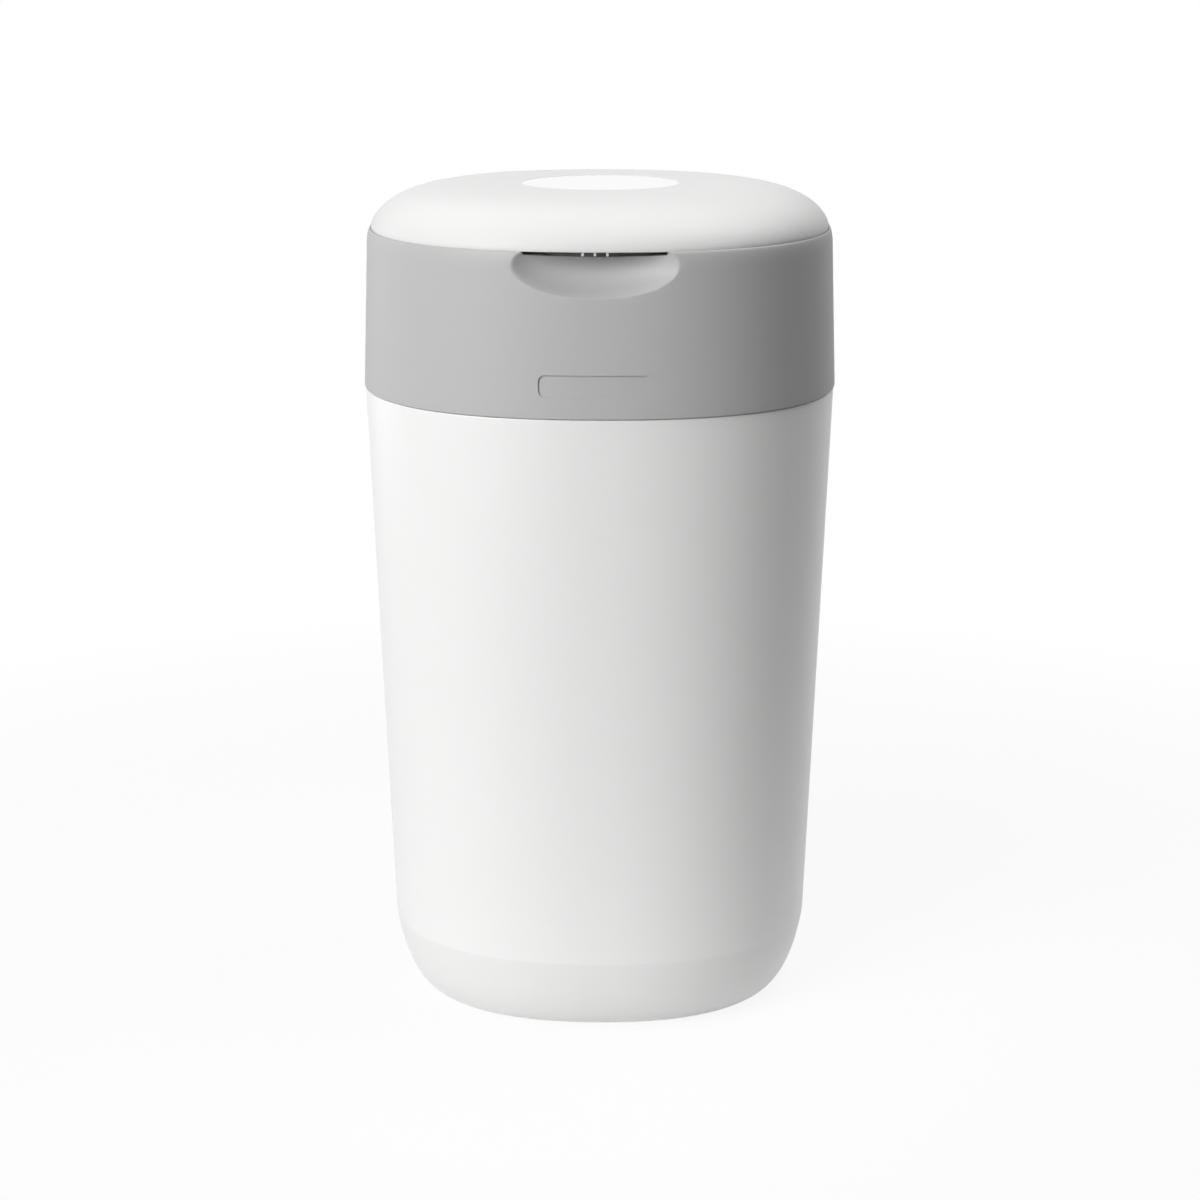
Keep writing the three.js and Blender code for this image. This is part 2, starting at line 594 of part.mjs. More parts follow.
// The panel's floor leans back as the wall does.
function badgeCutter() {
  const geometry = roundedBar(BADGE_WIDTH, BADGE_HEIGHT, BADGE_CORNER, BIN_DEPTH / 2);
  const panel = solid(geometry.rotateX(Math.PI / 2).translate(0, 0, BADGE_RISE));
  const floor = loft([
    level(BADGE_DEPTH, 0),
    level(BADGE_DEPTH + HEAD_TAPER, HEAD_HEIGHT - SHOULDER_DROP),
  ]);
  return panel.subtract(floor);
}

function cornerPosts(inset, radius, low, high) {
  return fourCorners.map((angle) => {
    const [x, y] = planPoint(level(inset, 0), angle);
    return post(radius, high - low, [x, y, low]);
  });
}

function headCollar() {
  const shoulderStart = HEAD_HEIGHT - SHOULDER_DROP;
  const wellEnd = LAND_Z - WELL_DEPTH;
  const under = LAND_Z - HEAD_WALL;
  const shell = loft([
    level(HEAD_WALL, 0),
    level(0, 0),
    level(HEAD_TAPER, shoulderStart),
    ...rounding(HEAD_TAPER, shoulderStart, SHOULDER_REACH, SHOULDER_DROP),
    level(LAND_START, LAND_Z),
    level(WELL_INSET, LAND_Z),
    level(WELL_INSET, wellEnd),
    level(WELL_INSET - HEAD_WALL, wellEnd),
    level(WELL_INSET - HEAD_WALL, under),
    level(HEAD_TAPER + SHOULDER_REACH + HEAD_WALL, under),
    level(HEAD_TAPER + HEAD_WALL, shoulderStart),
  ], true);
  const outerBody = block(HEAD_TAPER + HEAD_WALL / 2, SHOULDER_DROP, LAND_Z)
    .subtract(block(WELL_INSET, 0, HEAD_HEIGHT + OVERRUN));
  const bowl = scoopBody(SCOOP_WALL).intersect(outerBody);
  const pilotTop = UNDER_DECK + SCREW_LENGTH + PILOT_CLEARANCE;
  const pilots = cornerPosts(PILLAR_INSET, SCREW_RADIUS + SEAT_GAP, wellEnd - OVERRUN, pilotTop);
  const pillars = cornerPosts(PILLAR_INSET, PILLAR_RADIUS, wellEnd, under + HEAD_WALL / 2);
  const beadDepth = HEAD_WALL / 2 + CATCH_REACH;
  const catchBead = box(
    CATCH_WIDTH, beadDepth, CATCH_HEIGHT,
    [0, SEAT_GAP + (HEAD_WALL + beadDepth) / 2 - BIN_DEPTH / 2, CATCH_RISE],
  );
  let collar = shell.add(bowl).add(catchBead);
  for (const pillar of pillars) collar = collar.add(pillar);
  collar = collar.subtract(scoopBody(0)).subtract(scoopSlot()).subtract(badgeCutter());
  for (const pilot of pilots) collar = collar.subtract(pilot);
  return hingeEars(collar);
}

// Cuts the collar's back open for the knuckles and adds the ears of both hinges.
function hingeEars(collar) {
  const axis = { y: HEAD_AXIS.y, z: HEAD_AXIS.z - HEAD_FOOT };
  const lowSlot = box(
    HEAD_KNUCKLE_WIDTH + 2 * RUNNING_GAP, 2 * (HEAD_KNUCKLE_RADIUS + RUNNING_GAP) + OVERRUN,
    axis.z + HEAD_KNUCKLE_RADIUS + RUNNING_GAP + OVERRUN,
    [0, axis.y, (axis.z + HEAD_KNUCKLE_RADIUS + RUNNING_GAP - OVERRUN) / 2],
  );
  const highSlotHeight = LID_AXIS_DROP + LID_EYE_RADIUS + RUNNING_GAP;
  const highSlotDepth = LID_INSET + LID_ARM_BITE + RUNNING_GAP + OVERRUN;
  const highSlot = box(
    LID_ARM_WIDTH + 2 * RUNNING_GAP, highSlotDepth, highSlotHeight + OVERRUN,
    [
      0,
      BIN_DEPTH / 2 + OVERRUN - highSlotDepth / 2,
      HEAD_HEIGHT - highSlotHeight + (highSlotHeight + OVERRUN) / 2,
    ],
  );
  let made = collar.subtract(lowSlot).subtract(highSlot);
  const ears = [
    [HEAD_KNUCKLE_RADIUS, HEAD_EAR_WIDTH, HEAD_KNUCKLE_WIDTH, axis, HEAD_PIN_RADIUS],
    [LID_EYE_RADIUS, LID_EAR_WIDTH, LID_ARM_WIDTH, LID_AXIS, LID_PIN_RADIUS],
  ];
  for (const [radius, width, gap, at, pin] of ears) {
    const x = gap / 2 + RUNNING_GAP + width / 2;
    made = made.add(rod(radius, width, x, at)).add(rod(radius, width, -x, at));
    made = made.subtract(rod(pin + SEAT_GAP, gap + 2 * (width + RUNNING_GAP) + OVERRUN, 0, at));
  }
  return made;
}

function deck() {
  const low = DECK_TOP - DECK_THICKNESS;
  const plate = loft([
    level(DECK_INSET, low),
    level(DECK_INSET, DECK_TOP),
    roundLevel(DECK_HOLE_RADIUS, DECK_TOP),
    roundLevel(DECK_HOLE_RADIUS, low),
  ], true);
  const holes = cornerPosts(PILLAR_INSET, SCREW_RADIUS + SEAT_GAP, low - OVERRUN, DECK_TOP + OVERRUN);
  for (const [x, y] of [springScrewPlace(), ...cutterScrewPlaces()]) {
    holes.push(post(SCREW_RADIUS + SEAT_GAP, DECK_THICKNESS + 2 * OVERRUN, [x, y, low - OVERRUN]));
  }
  return holes.reduce((made, one) => made.subtract(one), plate);
}

// A screw with its head at the bottom and its head's upper face at z = 0.
function screw(length) {
  const slot = box(
    2 * SCREW_HEAD_RADIUS + OVERRUN, SCREW_SLOT_WIDTH, 2 * SCREW_SLOT_DEPTH, [0, 0, -SCREW_HEAD_HEIGHT],
  );
  return post(SCREW_HEAD_RADIUS, SCREW_HEAD_HEIGHT, [0, 0, -SCREW_HEAD_HEIGHT])
    .add(post(SCREW_RADIUS, length + SCREW_HEAD_HEIGHT / 2, [0, 0, -SCREW_HEAD_HEIGHT / 2]))
    .subtract(slot);
}

function placedScrew(name, length, [x, y, z]) {
  const mesh = piece(name, screw(length), STEEL);
  mesh.position.set(x, y, z);
  return mesh;
}

// Click spring, a leaf whose nose rides over the ratchet teeth

const polar = (radius, angle) => [radius * Math.cos(angle), radius * Math.sin(angle)];
const springRadius = RATCHET_TIP_RADIUS + SPRING_STANDOFF + SPRING_BASE / 2;
const springScrewPlace = () => polar(springRadius, SPRING_ANGLE);

function clickSpring() {
  const base = box(SPRING_BASE, SPRING_BASE, SPRING_HEIGHT, [springRadius, 0, 0]);
  const leafRadius = RATCHET_TIP_RADIUS + SEAT_GAP + NOSE_DEPTH;
  const arc = new THREE.Shape();
  arc.absarc(0, 0, leafRadius + SPRING_LEAF, 0, SPRING_SWEEP, false);
  arc.absarc(0, 0, leafRadius, SPRING_SWEEP, 0, true);
  const leaf = solid(new THREE.ExtrudeGeometry(arc, {
    depth: SPRING_HEIGHT, bevelEnabled: false, curveSegments: ROUNDING_STEPS,
  }).translate(0, 0, -SPRING_HEIGHT / 2));
  const arm = box(
    SPRING_STANDOFF + SPRING_BASE / 2, SPRING_LEAF * 2, SPRING_HEIGHT,
    [leafRadius + SPRING_LEAF / 2 + (SPRING_STANDOFF + SPRING_BASE / 2) / 2, 0, 0],
  );
  const noseShape = new THREE.Shape([
    new THREE.Vector2(leafRadius + SPRING_LEAF / 2, -NOSE_WIDTH / 2),
    new THREE.Vector2(leafRadius + SPRING_LEAF / 2, NOSE_WIDTH / 2),
    new THREE.Vector2(leafRadius - NOSE_DEPTH, 0),
  ]);
  const nose = solid(new THREE.ExtrudeGeometry(noseShape, {
    depth: SPRING_HEIGHT, bevelEnabled: false,
  }).translate(0, 0, -SPRING_HEIGHT / 2));
  return base
    .add(arm)
    .add(leaf)
    .add(turned(nose, SPRING_SWEEP))
    .subtract(post(SCREW_RADIUS + SEAT_GAP, SPRING_HEIGHT + OVERRUN, [springRadius, 0, -OVERRUN]));
}

// Film cutter, a hooded slot with a slanted blade across it

// On the diagonal of the front left corner, facing square out of the plan there
function cutterPlace() {
  const plan = level(CUTTER_INSET, 0);
  const [x, y] = planPoint(plan, fourCorners[2]);
  return { x, y, angle: Math.atan2(-plan.halfWidth, -plan.halfDepth) };
}

const cutterScrewPlaces = () => [-1, 1].map((side) => {
  const { x, y, angle } = cutterPlace();
  const [dx, dy] = polar((side * CUTTER_SCREW_PITCH) / 2, angle + Math.PI / 2);
  return [x + dx, y + dy];
});

const bladeBox = (grown) => {
  const geometry = new THREE.BoxGeometry(
    BLADE_THICKNESS + 2 * grown, BLADE_WIDTH + 2 * grown, BLADE_LENGTH + 2 * grown,
  );
  return solid(geometry.rotateX(BLADE_TILT)).translate([0, 0, -CUTTER_ROOF]);
};

function cutterHousing() {
  const geometry = roundedBar(CUTTER_DEPTH, CUTTER_WIDTH, CUTTER_CORNER, CUTTER_HEIGHT);
  const body = solid(geometry.translate(0, 0, -CUTTER_HEIGHT));
  const slotHeight = CUTTER_SLOT_HEIGHT + OVERRUN;
  const slot = box(
    CUTTER_SLOT_WIDTH, CUTTER_WIDTH + OVERRUN, slotHeight,
    [0, 0, -CUTTER_ROOF - slotHeight / 2],
  );
  const pilots = [-1, 1].map((side) =>
    post(SCREW_RADIUS + SEAT_GAP, CUTTER_SCREW_LENGTH + OVERRUN,
      [0, (side * CUTTER_SCREW_PITCH) / 2, -CUTTER_SCREW_LENGTH - SEAT_GAP]));
  return [slot, bladeBox(SEAT_GAP), ...pilots].reduce((made, one) => made.subtract(one), body);
}

// Twist ring and drive sleeve, with z from the deck's upper face

function funnelProfile() {
  const top = RING_CREST - RING_WALL;
  const drop = THROAT_DEPTH - THROAT_LENGTH + top;
  const reach = RING_CREST_RADIUS - RING_WALL - THROAT_RADIUS;
  const inside = FUNNEL_SHARES.map(([across, down]) => [THROAT_RADIUS + reach * across, top - drop * down]);
  const outside = inside.map(([radius, z], i) => {
    const [fromRadius, fromZ] = inside[Math.max(i - 1, 0)];
    const [toRadius, toZ] = inside[Math.min(i + 1, inside.length - 1)];
    const slope = Math.atan2(fromZ - toZ, fromRadius - toRadius);
    return [radius + RING_WALL * Math.sin(slope), z - RING_WALL * Math.cos(slope)];
  });
  return { inside, outside };
}

function twistRing() {
  const { inside, outside } = funnelProfile();
  const hubFoot = -DECK_THICKNESS - SEAT_GAP;
  const skirtInside = SLEEVE_SKIRT_RADIUS - SLEEVE_SKIRT_WALL;
  const back = outside.filter(([radius, z]) => z < hubFoot && radius < skirtInside - RUNNING_GAP);
  const ring = revolve([
    [RING_HUB_RADIUS, SEAT_GAP],
    [RING_FLANGE_RADIUS, SEAT_GAP],
    [RING_FLANGE_RADIUS, SEAT_GAP + RING_WALL],
    [(RING_FLANGE_RADIUS + RING_CREST_RADIUS) / 2, RING_CREST - SEAT_GAP],
    [RING_CREST_RADIUS, RING_CREST],
    ...inside,
    [THROAT_RADIUS, -THROAT_DEPTH],
    [THROAT_RADIUS + RING_WALL, -THROAT_DEPTH],
    ...back.reverse(),
    [skirtInside, hubFoot],
    [RING_HUB_RADIUS, hubFoot],
  ]);
  const gripRadius = RING_CREST_RADIUS - GRIP_THICKNESS / 2;
  const wall = revolve([
    [gripRadius - GRIP_THICKNESS / 2, SEAT_GAP + RING_WALL],
    [gripRadius + GRIP_THICKNESS / 2, SEAT_GAP + RING_WALL],
    [gripRadius + GRIP_THICKNESS / 3, GRIP_HEIGHT],
    [gripRadius - GRIP_THICKNESS / 3, GRIP_HEIGHT],
  ]);
  let made = ring;
  for (const side of [-1, 1]) {
    const dome = ellipsoid([GRIP_HALF_LENGTH, GRIP_HALF_LENGTH, GRIP_HEIGHT], [side * gripRadius, 0, 0]);
    made = made.add(wall.intersect(dome));
  }
  const pilotHeight = sleeveScrewTip + SEAT_GAP - hubFoot + OVERRUN;
  return sleeveScrewPlaces().reduce(
    (left, [x, y]) => left.subtract(post(SCREW_RADIUS + SEAT_GAP, pilotHeight, [x, y, hubFoot - OVERRUN])),
    made,
  );
}

const sleeveScrewPlaces = () =>
  around(SLEEVE_SCREWS, (angle) => polar(SLEEVE_SCREW_CIRCLE, angle + Math.PI / SLEEVE_SCREWS));
const sleeveTop = -DECK_THICKNESS - 2 * SEAT_GAP;
const sleeveScrewFoot = sleeveTop - SLEEVE_THICKNESS - SEAT_GAP;
const sleeveScrewTip = sleeveScrewFoot + SLEEVE_SCREW_LENGTH;

function ratchetDisc() {
  const outline = new THREE.Shape();
  for (let i = 0; i < RATCHET_TEETH; i++) {
    const pitch = (2 * Math.PI) / RATCHET_TEETH;
    const valley = polar(RATCHET_ROOT_RADIUS, i * pitch);
    const crest = polar(RATCHET_TIP_RADIUS, (i + 1 / 2) * pitch);
    if (i === 0) outline.moveTo(...valley);
    else outline.lineTo(...valley);
    outline.lineTo(...crest);
  }
  return solid(new THREE.ExtrudeGeometry(outline, { depth: SLEEVE_THICKNESS, bevelEnabled: false })
    .translate(0, 0, sleeveTop - SLEEVE_THICKNESS));
}

function driveSleeve() {
  const inner = SLEEVE_SKIRT_RADIUS - SLEEVE_SKIRT_WALL;
  const foot = -THROAT_DEPTH - SEAT_GAP;
  const skirt = revolve([
    [inner, foot],
    [SLEEVE_SKIRT_RADIUS, foot],
    [SLEEVE_SKIRT_RADIUS, sleeveTop],
    [inner, sleeveTop],
  ]);
  const hole = revolve([[0, sleeveTop - OVERRUN], [inner, sleeveTop - OVERRUN], [inner, 0], [0, 0]]);
  let made = ratchetDisc().subtract(hole).add(skirt);
  const lugHeight = LUG_DROP + SLEEVE_SKIRT_WALL;
  const lug = box(
    SLEEVE_SKIRT_WALL, LUG_WIDTH, lugHeight,
    [SLEEVE_SKIRT_RADIUS - SLEEVE_SKIRT_WALL / 2, 0, foot + SLEEVE_SKIRT_WALL - lugHeight / 2],
  );
  for (const one of around(LUG_COUNT, (angle) => turned(lug, angle))) made = made.add(one);
  const holeFoot = sleeveTop - SLEEVE_THICKNESS - OVERRUN;
  for (const [x, y] of sleeveScrewPlaces()) {
    made = made.subtract(post(SCREW_RADIUS + SEAT_GAP, SLEEVE_THICKNESS + 2 * OVERRUN, [x, y, holeFoot]));
  }
  return made;
}

// Lid, with z from its lower edge

function domeLevel(share, inset, edge, height) {
  const rise = height * (1 - share ** DOME_PLAN_POWER) ** (1 / DOME_RISE_POWER);
  return {
    halfWidth: (BIN_WIDTH / 2 - inset) * share,
    halfDepth: (BIN_DEPTH / 2 - inset) * share,
    power: PLAN_POWER,
    z: edge + rise,
  };
}

function domeBody(inset, edge, height) {
  const shares = [1, 0.985, 0.955, 0.91, 0.84, 0.7, 0.45, 0.1];
  return loft([level(inset, 0), ...shares.map((share) => domeLevel(share, inset, edge, height))]);
}

function lidArm() {
  const eye = { y: LID_AXIS.y, z: LID_AXIS.z + HEAD_FOOT - LID_BASE };
  const lidBack = BIN_DEPTH / 2 - LID_INSET;
  const outline = new THREE.Shape();
  outline.moveTo(lidBack - LID_ARM_BITE, LID_ARM_RISE);
  outline.lineTo(lidBack - LID_ARM_BITE, SEAT_GAP);
  outline.absarc(eye.y, eye.z, LID_EYE_RADIUS, Math.PI, (9 * Math.PI) / 4, false);
  const geometry = new THREE.ExtrudeGeometry(outline, {
    depth: LID_ARM_WIDTH, bevelEnabled: false, curveSegments: ROUNDING_STEPS,
  });
  geometry.rotateX(Math.PI / 2).rotateZ(Math.PI / 2).translate(-LID_ARM_WIDTH / 2, 0, 0);
  return { arm: solid(geometry), eye };
}

function lidShell() {
  const inside = domeBody(LID_INSET + LID_WALL, LID_EDGE, DOME_HEIGHT - LID_WALL)
    .add(block(LID_INSET + LID_WALL, -OVERRUN, LID_EDGE));
  const { arm, eye } = lidArm();
  const patchHeight = 2 * PATCH_SINK;
  const patch = loft([
    { halfWidth: PATCH_WIDTH / 2, halfDepth: PATCH_DEPTH / 2, power: 2, z: 0 },
    { halfWidth: PATCH_WIDTH / 2, halfDepth: PATCH_DEPTH / 2, power: 2, z: patchHeight },
  ]).translate([0, 0, LID_EDGE + DOME_HEIGHT - PATCH_SINK]);
  let made = domeBody(LID_INSET, LID_EDGE, DOME_HEIGHT).subtract(inside).subtract(patch).add(arm);
  const front = LID_INSET + LID_WALL / 2 - BIN_DEPTH / 2;
  for (let i = 0; i < RIB_COUNT; i++) {
    const x = (i - (RIB_COUNT - 1) / 2) * RIB_PITCH;
    const place = [x, front + RIB_DEPTH / 2, RIB_HEIGHT / 2 - RIB_DROP];
    made = made.add(box(RIB_WIDTH, RIB_DEPTH, RIB_HEIGHT, place));
  }
  return made.subtract(rod(LID_PIN_RADIUS + SEAT_GAP, LID_ARM_WIDTH + OVERRUN, 0, eye));
}

function linerShape() {
  const edge = LID_INSET + LID_WALL + SEAT_GAP;
  const plug = WELL_INSET + LINER_PLUG_GAP;
  const low = -LINER_PLUG_DROP;
  const grooveLow = low + SEAL_RISE;
  const grooveHigh = grooveLow + SEAL_HEIGHT;
  const groove = plug + SEAL_GROOVE;
  return { edge, plug, low, grooveLow, grooveHigh, groove };
}

function lidLiner() {
  const { edge, plug, low, grooveLow, grooveHigh, groove } = linerShape();
  const inner = plug + LINER_PLUG_WALL + SEAL_GROOVE;
  const plate = SEAT_GAP;
  const liner = loft([
    level(inner + LINER_THICKNESS, plate),
    level(inner, plate),
    level(inner, low),
    level(plug, low),
    level(plug, grooveLow),
    level(groove, grooveLow),
    level(groove, grooveHigh),
    level(plug, grooveHigh),
    level(plug, plate),
    level(edge, plate),
    level(edge, LID_EDGE),
    level(edge + RUNNING_GAP, plate + LINER_THICKNESS),
  ]);
  const armGap = box(
    LID_ARM_WIDTH + 2 * RUNNING_GAP, LID_INSET + LID_WALL, 2 * OVERRUN,
    [0, BIN_DEPTH / 2 - LID_INSET, OVERRUN],
  );
  const ribGap = box(
    RIB_COUNT * RIB_PITCH, LID_INSET + LID_WALL + RIB_DEPTH, 2 * OVERRUN,
    [0, LID_INSET - BIN_DEPTH / 2, 0],
  );
  return liner.subtract(armGap).subtract(ribGap);
}

function lidSeal() {
  const { groove, grooveLow, grooveHigh } = linerShape();
  const outer = WELL_INSET + RUNNING_GAP;
  return loft([
    level(groove - SEAT_GAP, grooveLow + SEAT_GAP),
    level(outer + SEAT_GAP, (grooveLow + grooveHigh) / 2 - SEAT_GAP),
    level(outer, (grooveLow + grooveHigh) / 2),
    level(outer + SEAT_GAP, (grooveLow + grooveHigh) / 2 + SEAT_GAP),
    level(groove - SEAT_GAP, grooveHigh - SEAT_GAP),
  ], true);
}

// Assembly

function tubGroup() {
  const group = new THREE.Group();
  group.add(
    piece("tub_shell", tubShell(), WHITE),
    piece("cassette_cradle", cassetteCradle(), DARK),
    piece("gripper_ring", gripperRing(), RUBBER),
    piece(
      "head_hinge_pin",
      hingePin(HEAD_PIN_RADIUS, HEAD_KNUCKLE_WIDTH, HEAD_EAR_WIDTH, HEAD_AXIS),
      STEEL,
    ),
  );
  return group;
}

function cassetteGroup() {
  const group = new THREE.Group();
  group.position.z = CASSETTE_BASE;
  group.add(
    piece("cassette_tray", cassetteTray(), PALE),
    piece("film_pack", filmPack(), FILM),
    piece("cassette_cover", cassetteCover(), PALE),
  );
  return group;
}

function twistGroup() {
  const group = new THREE.Group();
  group.position.z = DECK_TOP;
  group.add(piece("twist_ring", twistRing(), WHITE), piece("drive_sleeve", driveSleeve(), DARK));
  sleeveScrewPlaces().forEach(([x, y], i) => {
    group.add(placedScrew(`sleeve_screw_${i + 1}`, SLEEVE_SCREW_LENGTH, [x, y, sleeveScrewFoot]));
  });
  return group;
}

function lidGroup() {
  const group = new THREE.Group();
  group.position.z = LID_BASE - HEAD_FOOT;
  group.add(
    piece("lid_shell", lidShell(), LID_WHITE),
    piece("lid_liner", lidLiner(), GREY),
    piece("lid_seal", lidSeal(), RUBBER),
  );
  return group;
}

function cutterGroup() {
  const group = new THREE.Group();
  const { x, y, angle } = cutterPlace();
  group.position.set(x, y, UNDER_DECK);
  group.rotation.z = angle;
  group.add(
    piece("cutter_housing", cutterHousing(), DARK),
    piece("cutter_blade", bladeBox(0), STEEL),
  );
  return group;
}

function headGroup() {
  const group = new THREE.Group();
  group.position.z = HEAD_FOOT;
  group.add(
    piece("head_collar", headCollar(), GREY),
    piece("deck", deck(), GREY),
    piece("lid_hinge_pin", hingePin(LID_PIN_RADIUS, LID_ARM_WIDTH, LID_EAR_WIDTH, LID_AXIS), STEEL),
  );
  fourCorners.forEach((angle, i) => {
    const [x, y] = planPoint(level(PILLAR_INSET, 0), angle);
    group.add(placedScrew(`deck_screw_${i + 1}`, SCREW_LENGTH, [x, y, UNDER_DECK]));
  });
  const spring = piece("click_spring", clickSpring(), WHITE);
  spring.position.z = UNDER_DECK - SPRING_HEIGHT / 2;
  spring.rotation.z = SPRING_ANGLE;
  const springScrewFoot = [...springScrewPlace(), UNDER_DECK - SPRING_HEIGHT - SEAT_GAP];
  group.add(spring, placedScrew("click_spring_screw", SPRING_HEIGHT + DECK_THICKNESS, springScrewFoot));
  cutterScrewPlaces().forEach(([x, y], i) => {
    const length = CUTTER_SCREW_LENGTH + DECK_THICKNESS + SEAT_GAP;
    const down = placedScrew(`cutter_screw_${i + 1}`, length, [x, y, DECK_TOP + SEAT_GAP]);
    down.rotation.x = Math.PI;
    group.add(down);
  });
  group.add(cutterGroup(), twistGroup(), lidGroup());
  return group;
}

const bin = new THREE.Group();
bin.name = "nappy_bin";
bin.add(tubGroup(), cassetteGroup(), headGroup());

export default bin;
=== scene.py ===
# A nappy bin: white tub, grey hinged head with a finger scoop, and a white domed lid.
# The pieces are rebuilt as fine meshes around the frame's sizes, and three small ones keep their solids.
import math

import bmesh
import bpy
from mathutils import Matrix, Vector


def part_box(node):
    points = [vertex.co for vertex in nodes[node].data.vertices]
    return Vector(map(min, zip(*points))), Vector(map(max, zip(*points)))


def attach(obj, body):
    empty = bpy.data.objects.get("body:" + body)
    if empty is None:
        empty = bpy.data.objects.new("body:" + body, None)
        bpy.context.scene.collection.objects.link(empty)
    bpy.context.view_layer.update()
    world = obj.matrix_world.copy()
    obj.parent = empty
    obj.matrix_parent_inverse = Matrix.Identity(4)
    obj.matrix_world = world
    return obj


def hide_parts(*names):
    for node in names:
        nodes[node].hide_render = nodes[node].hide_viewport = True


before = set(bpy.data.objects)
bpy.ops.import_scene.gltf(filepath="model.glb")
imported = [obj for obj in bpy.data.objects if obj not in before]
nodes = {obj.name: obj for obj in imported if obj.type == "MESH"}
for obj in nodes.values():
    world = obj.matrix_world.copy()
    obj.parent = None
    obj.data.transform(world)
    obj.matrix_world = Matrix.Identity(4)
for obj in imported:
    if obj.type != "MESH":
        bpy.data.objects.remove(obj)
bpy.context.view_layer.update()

MM = 0.001

# Sizes in millimetres, read from the frame where it shows them

collar_low, collar_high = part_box("head_collar")
HALF_WIDTH = collar_high[0] / MM
HALF_DEPTH = -collar_low[1] / MM
HEAD_FOOT = collar_low[2] / MM
HEAD_HEIGHT = 84
LID_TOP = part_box("lid_shell")[1][2] / MM
PLAN_POWER = 2.3
SEAT_GAP = 0.3

# How finely the meshes are drawn

PLAN_STEPS = 192
ROUND_STEPS = 144
SCREW_STEPS = 40
BALL_STEPS = 96
CYLINDER_STEPS = 48
CORNER_STEPS = 4
LEAST_TURN = math.radians(25)  # a corner that turns less isn't rounded
CORNER_MOST_SHARE = 0.45  # of the stretch beside a corner that its rounding may take
CUT_EDGE_ANGLE = math.radians(35)  # sharper edges are rounded
SHARP_ANGLE = math.radians(32)  # sharper edges aren't shaded smoothly

# Outlines and skins


def plan_point(half_width, half_depth, power, angle):
    """A point of a superellipse, at an angle from +X."""
    c = math.cos(angle)
    s = math.sin(angle)
    share = 2 / power
    return (
        math.copysign(half_width * abs(c) ** share, c),
        math.copysign(half_depth * abs(s) ** share, s),
    )


def polar(radius, angle):
    return (radius * math.cos(angle), radius * math.sin(angle))


def level(inset, z):
    """One level of the bin's plan, `inset` inside the foot of the head."""
    return (HALF_WIDTH - inset, HALF_DEPTH - inset, PLAN_POWER, z)


def round_level(radius, z):
    return (radius, radius, 2, z)


def between(first, last, share):
    """The level at a share of the way from one level to another."""
    return tuple(a + (b - a) * share for a, b in zip(first, last))


def straight(first, last, count):
    """Levels from one to another, spread evenly, so that a cut through them still shades smoothly."""
    return [between(first, last, i / count) for i in range(count + 1)]


def rounding(inset, z, reach, rise, start=0.0, steps=20):
    """Levels along a quarter of an ellipse, across `reach` and up `rise`, without the first."""
    made = []
    for i in range(1, steps + 1):
        angle = start + (math.pi / 2 - start) * i / steps
        across = (math.cos(start) - math.cos(angle)) / math.cos(start)
        along = (math.sin(angle) - math.sin(start)) / (1 - math.sin(start))
        made.append(level(inset + reach * across, z + rise * along))
    return made


def softened(levels, radius, closed=True):
    """Rounds each corner of a section, apart from those that turn by little."""
    made = []
    count = len(levels)
    for i, here in enumerate(levels):
        if not closed and i in (0, count - 1):
            made.append(here)
            continue
        back = levels[i - 1]
        ahead = levels[(i + 1) % count]
        to_back = Vector((back[0] - here[0], back[3] - here[3]))
        to_ahead = Vector((ahead[0] - here[0], ahead[3] - here[3]))
        turn = math.pi - to_back.angle(to_ahead, math.pi)
        if turn < LEAST_TURN:
            made.append(here)
            continue
        from_back = min(radius / max(to_back.length, radius), CORNER_MOST_SHARE)
        from_ahead = min(radius / max(to_ahead.length, radius), CORNER_MOST_SHARE)
        for k in range(CORNER_STEPS + 1):
            t = k / CORNER_STEPS
            made.append(tuple(
                here[j]
                + (back[j] - here[j]) * from_back * (1 - t) ** 2
                + (ahead[j] - here[j]) * from_ahead * t ** 2
                for j in range(4)
            ))
    return made


def linked(name, data):
    """A new object in the scene, made of a mesh, a camera or a lamp."""
    obj = bpy.data.objects.new(name, data)
    bpy.context.scene.collection.objects.link(obj)
    return obj


def made_object(name, points, faces):
    mesh = bpy.data.meshes.new(name)
    mesh.from_pydata(points, [], faces)
    mesh.update()
    return linked(name, mesh)


def skin(name, levels, closed=True, steps=PLAN_STEPS):
    """Skins a stack of levels into a mesh: a closed ring, or a stack capped at both ends."""
    mesh_points = []
    for half_width, half_depth, power, z in levels:
        for i in range(steps):
            x, y = plan_point(half_width, half_depth, power, 2 * math.pi * i / steps)
            mesh_points.append((x * MM, y * MM, z * MM))
    faces = []
    count = len(levels)
    for k in range(count if closed else count - 1):
        low = k * steps
        high = ((k + 1) % count) * steps
        for i in range(steps):
            j = (i + 1) % steps
            faces.append((low + i, low + j, high + j, high + i))
    if not closed:
        faces.append(tuple(reversed(range(steps))))
        faces.append(tuple((count - 1) * steps + i for i in range(steps)))
    return made_object(name, mesh_points, faces)


def revolved(name, profile, radius=0.3):
    """A round ring from (radius, z) corners, each a little rounded."""
    return skin(name, softened([round_level(r, z) for r, z in profile], radius), steps=ROUND_STEPS)


# Plain solids and tools for cutting


def in_metres(sizes):
    return [one * MM for one in sizes]


def moved(name, bm, centre, shape):
    """A mesh from a unit shape, which is sized or turned and then moved to its centre."""
    bm.transform(Matrix.Translation(in_metres(centre)) @ shape)
    mesh = bpy.data.meshes.new(name)
    bm.to_mesh(mesh)
    bm.free()
    return linked(name, mesh)


